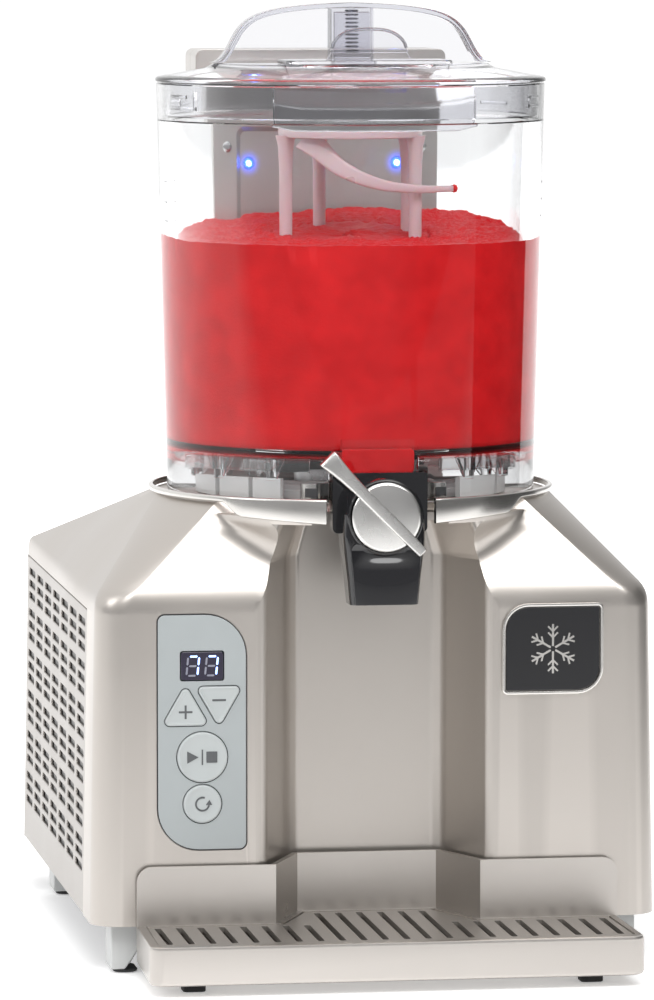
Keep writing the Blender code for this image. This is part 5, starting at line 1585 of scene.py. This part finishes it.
def flat_sheet(name, half, place):
    """A level square sheet, for the floor or a card beside the object."""
    sheet = bmesh.new()
    bmesh.ops.create_grid(sheet, x_segments=8, y_segments=8, size=half)
    made = into_object(name, sheet)
    made.location = place
    return made


def white_world():
    """Even white light from behind, greyer and dimmer from the front and the right."""
    world = bpy.data.worlds.new("studio")
    bpy.context.scene.world = world
    world.use_nodes = True
    nodes, links = world.node_tree.nodes, world.node_tree.links
    coords = nodes.new("ShaderNodeTexCoord")
    split = nodes.new("ShaderNodeSeparateXYZ")
    links.new(coords.outputs["Generated"], split.inputs["Vector"])
    ramp = nodes.new("ShaderNodeValToRGB")
    ramp.color_ramp.elements[0].position = 0.48
    ramp.color_ramp.elements[0].color = (0, 0, 0, 1)
    ramp.color_ramp.elements[1].position = 0.68
    ramp.color_ramp.elements[1].color = (1, 1, 1, 1)
    links.new(remap(nodes, links, split.outputs["Y"], -1, 1, 0, 1), ramp.inputs["Fac"])
    dim = remap(nodes, links, split.outputs["X"], 0.28, 0.6, 0.0, 0.72)
    lift = remap(nodes, links, split.outputs["Z"], 0.08, 0.6, 0, 1)
    front = blend_colours(nodes, links, lift, (0.33, 0.33, 0.335), (0.78, 0.78, 0.78))
    tone = blend_colours(nodes, links, ramp.outputs["Color"], front, (1.0, 1.0, 1.0))
    back = nodes["Background"]
    links.new(blend_colours(nodes, links, dim, tone, (0.1, 0.1, 0.1)), back.inputs["Color"])
    back.inputs["Strength"].default_value = 1.05


def paper():
    """The floor's white paper: it glows a little, more so far behind the object and not far in front."""
    made, nodes, links, shader = shader_nodes("floor_paper", (0.97, 0.97, 0.97), 0.9,
                                              Emission_Strength=0.75)
    where = place_of(nodes, links)
    split = nodes.new("ShaderNodeSeparateXYZ")
    links.new(where, split.inputs["Vector"])
    grey = (0.42, 0.42, 0.42)
    away = remap(nodes, links, split.outputs["Y"], -3.6, -4.3, 0, 1)
    tone = blend_colours(nodes, links, grain(nodes, links, where, 400, 2), (0.95, 0.95, 0.95),
                         (0.99, 0.99, 0.99))
    links.new(blend_colours(nodes, links, away, tone, grey), shader.inputs["Base Color"])
    far = remap(nodes, links, split.outputs["Y"], -2.6, -1.2, 0, 1)
    glow = blend_colours(nodes, links, far, grey, (1.0, 1.0, 1.0))
    links.new(blend_colours(nodes, links, away, glow, (0.0, 0.0, 0.0)), shader.inputs["Emission Color"])
    return made


def studio():
    """A white floor, soft lamps, and a dark card on the right that only reflections show."""
    white_world()
    ground = flat_sheet("floor", 5.5, (0, 3.0, -0.0002))
    ground.data.materials.append(paper())
    card = flat_sheet("dark_card", 0.5, (1.05, 0.05, 0.3))
    card.rotation_euler = (0, math.radians(-90), 0)
    card.visible_camera = False
    card.visible_shadow = False
    card.data.materials.append(shader_nodes("card_black", (0.05, 0.05, 0.05), 0.9)[0])
    lamps = [
        area("key", (0.25, -1.5, 1.75), (0, -0.05, 0.2), (2.4, 0.7), 26),
        area("fill", (-1.9, -0.6, 1.5), (0, 0, 0.22), (0.9, 0.9), 8),
        area("top", (0, -0.1, 2.2), (0, 0, 0.2), (1.6, 1.2), 8),
    ]


def camera():
    """The photo's view: from a little to the left and a little above."""
    data = bpy.data.cameras.new("camera")
    data.lens = 229.8
    data.sensor_width = 36
    data.clip_start = 0.1
    obj = bpy.data.objects.new("camera", data)
    bpy.context.scene.collection.objects.link(obj)
    obj.location = AXIS + Vector((-0.529, -3.363, 0.549))
    pan, tilt = math.radians(8.73), math.radians(5.2)
    ahead = Vector((math.sin(pan) * math.cos(tilt), math.cos(pan) * math.cos(tilt), -math.sin(tilt)))
    obj.rotation_euler = ahead.to_track_quat("-Z", "Y").to_euler()
    bpy.context.scene.camera = obj


def main():
    housing()
    side_panel("side_panel_left", -1)
    side_panel("side_panel_right", 1)
    rear_panel()
    collar("collar_left", 254.5, 118)
    collar("collar_right", 285.5, 422)
    tower()
    controls()
    badge()
    drip_tray()
    drip_grille()
    feet()
    tank_walls()
    slush()
    agitator()
    lid()
    tap()
    bracket()
    plinth()
    works()
    studio()
    camera()
    bpy.context.scene.view_settings.view_transform = "Standard"


main()
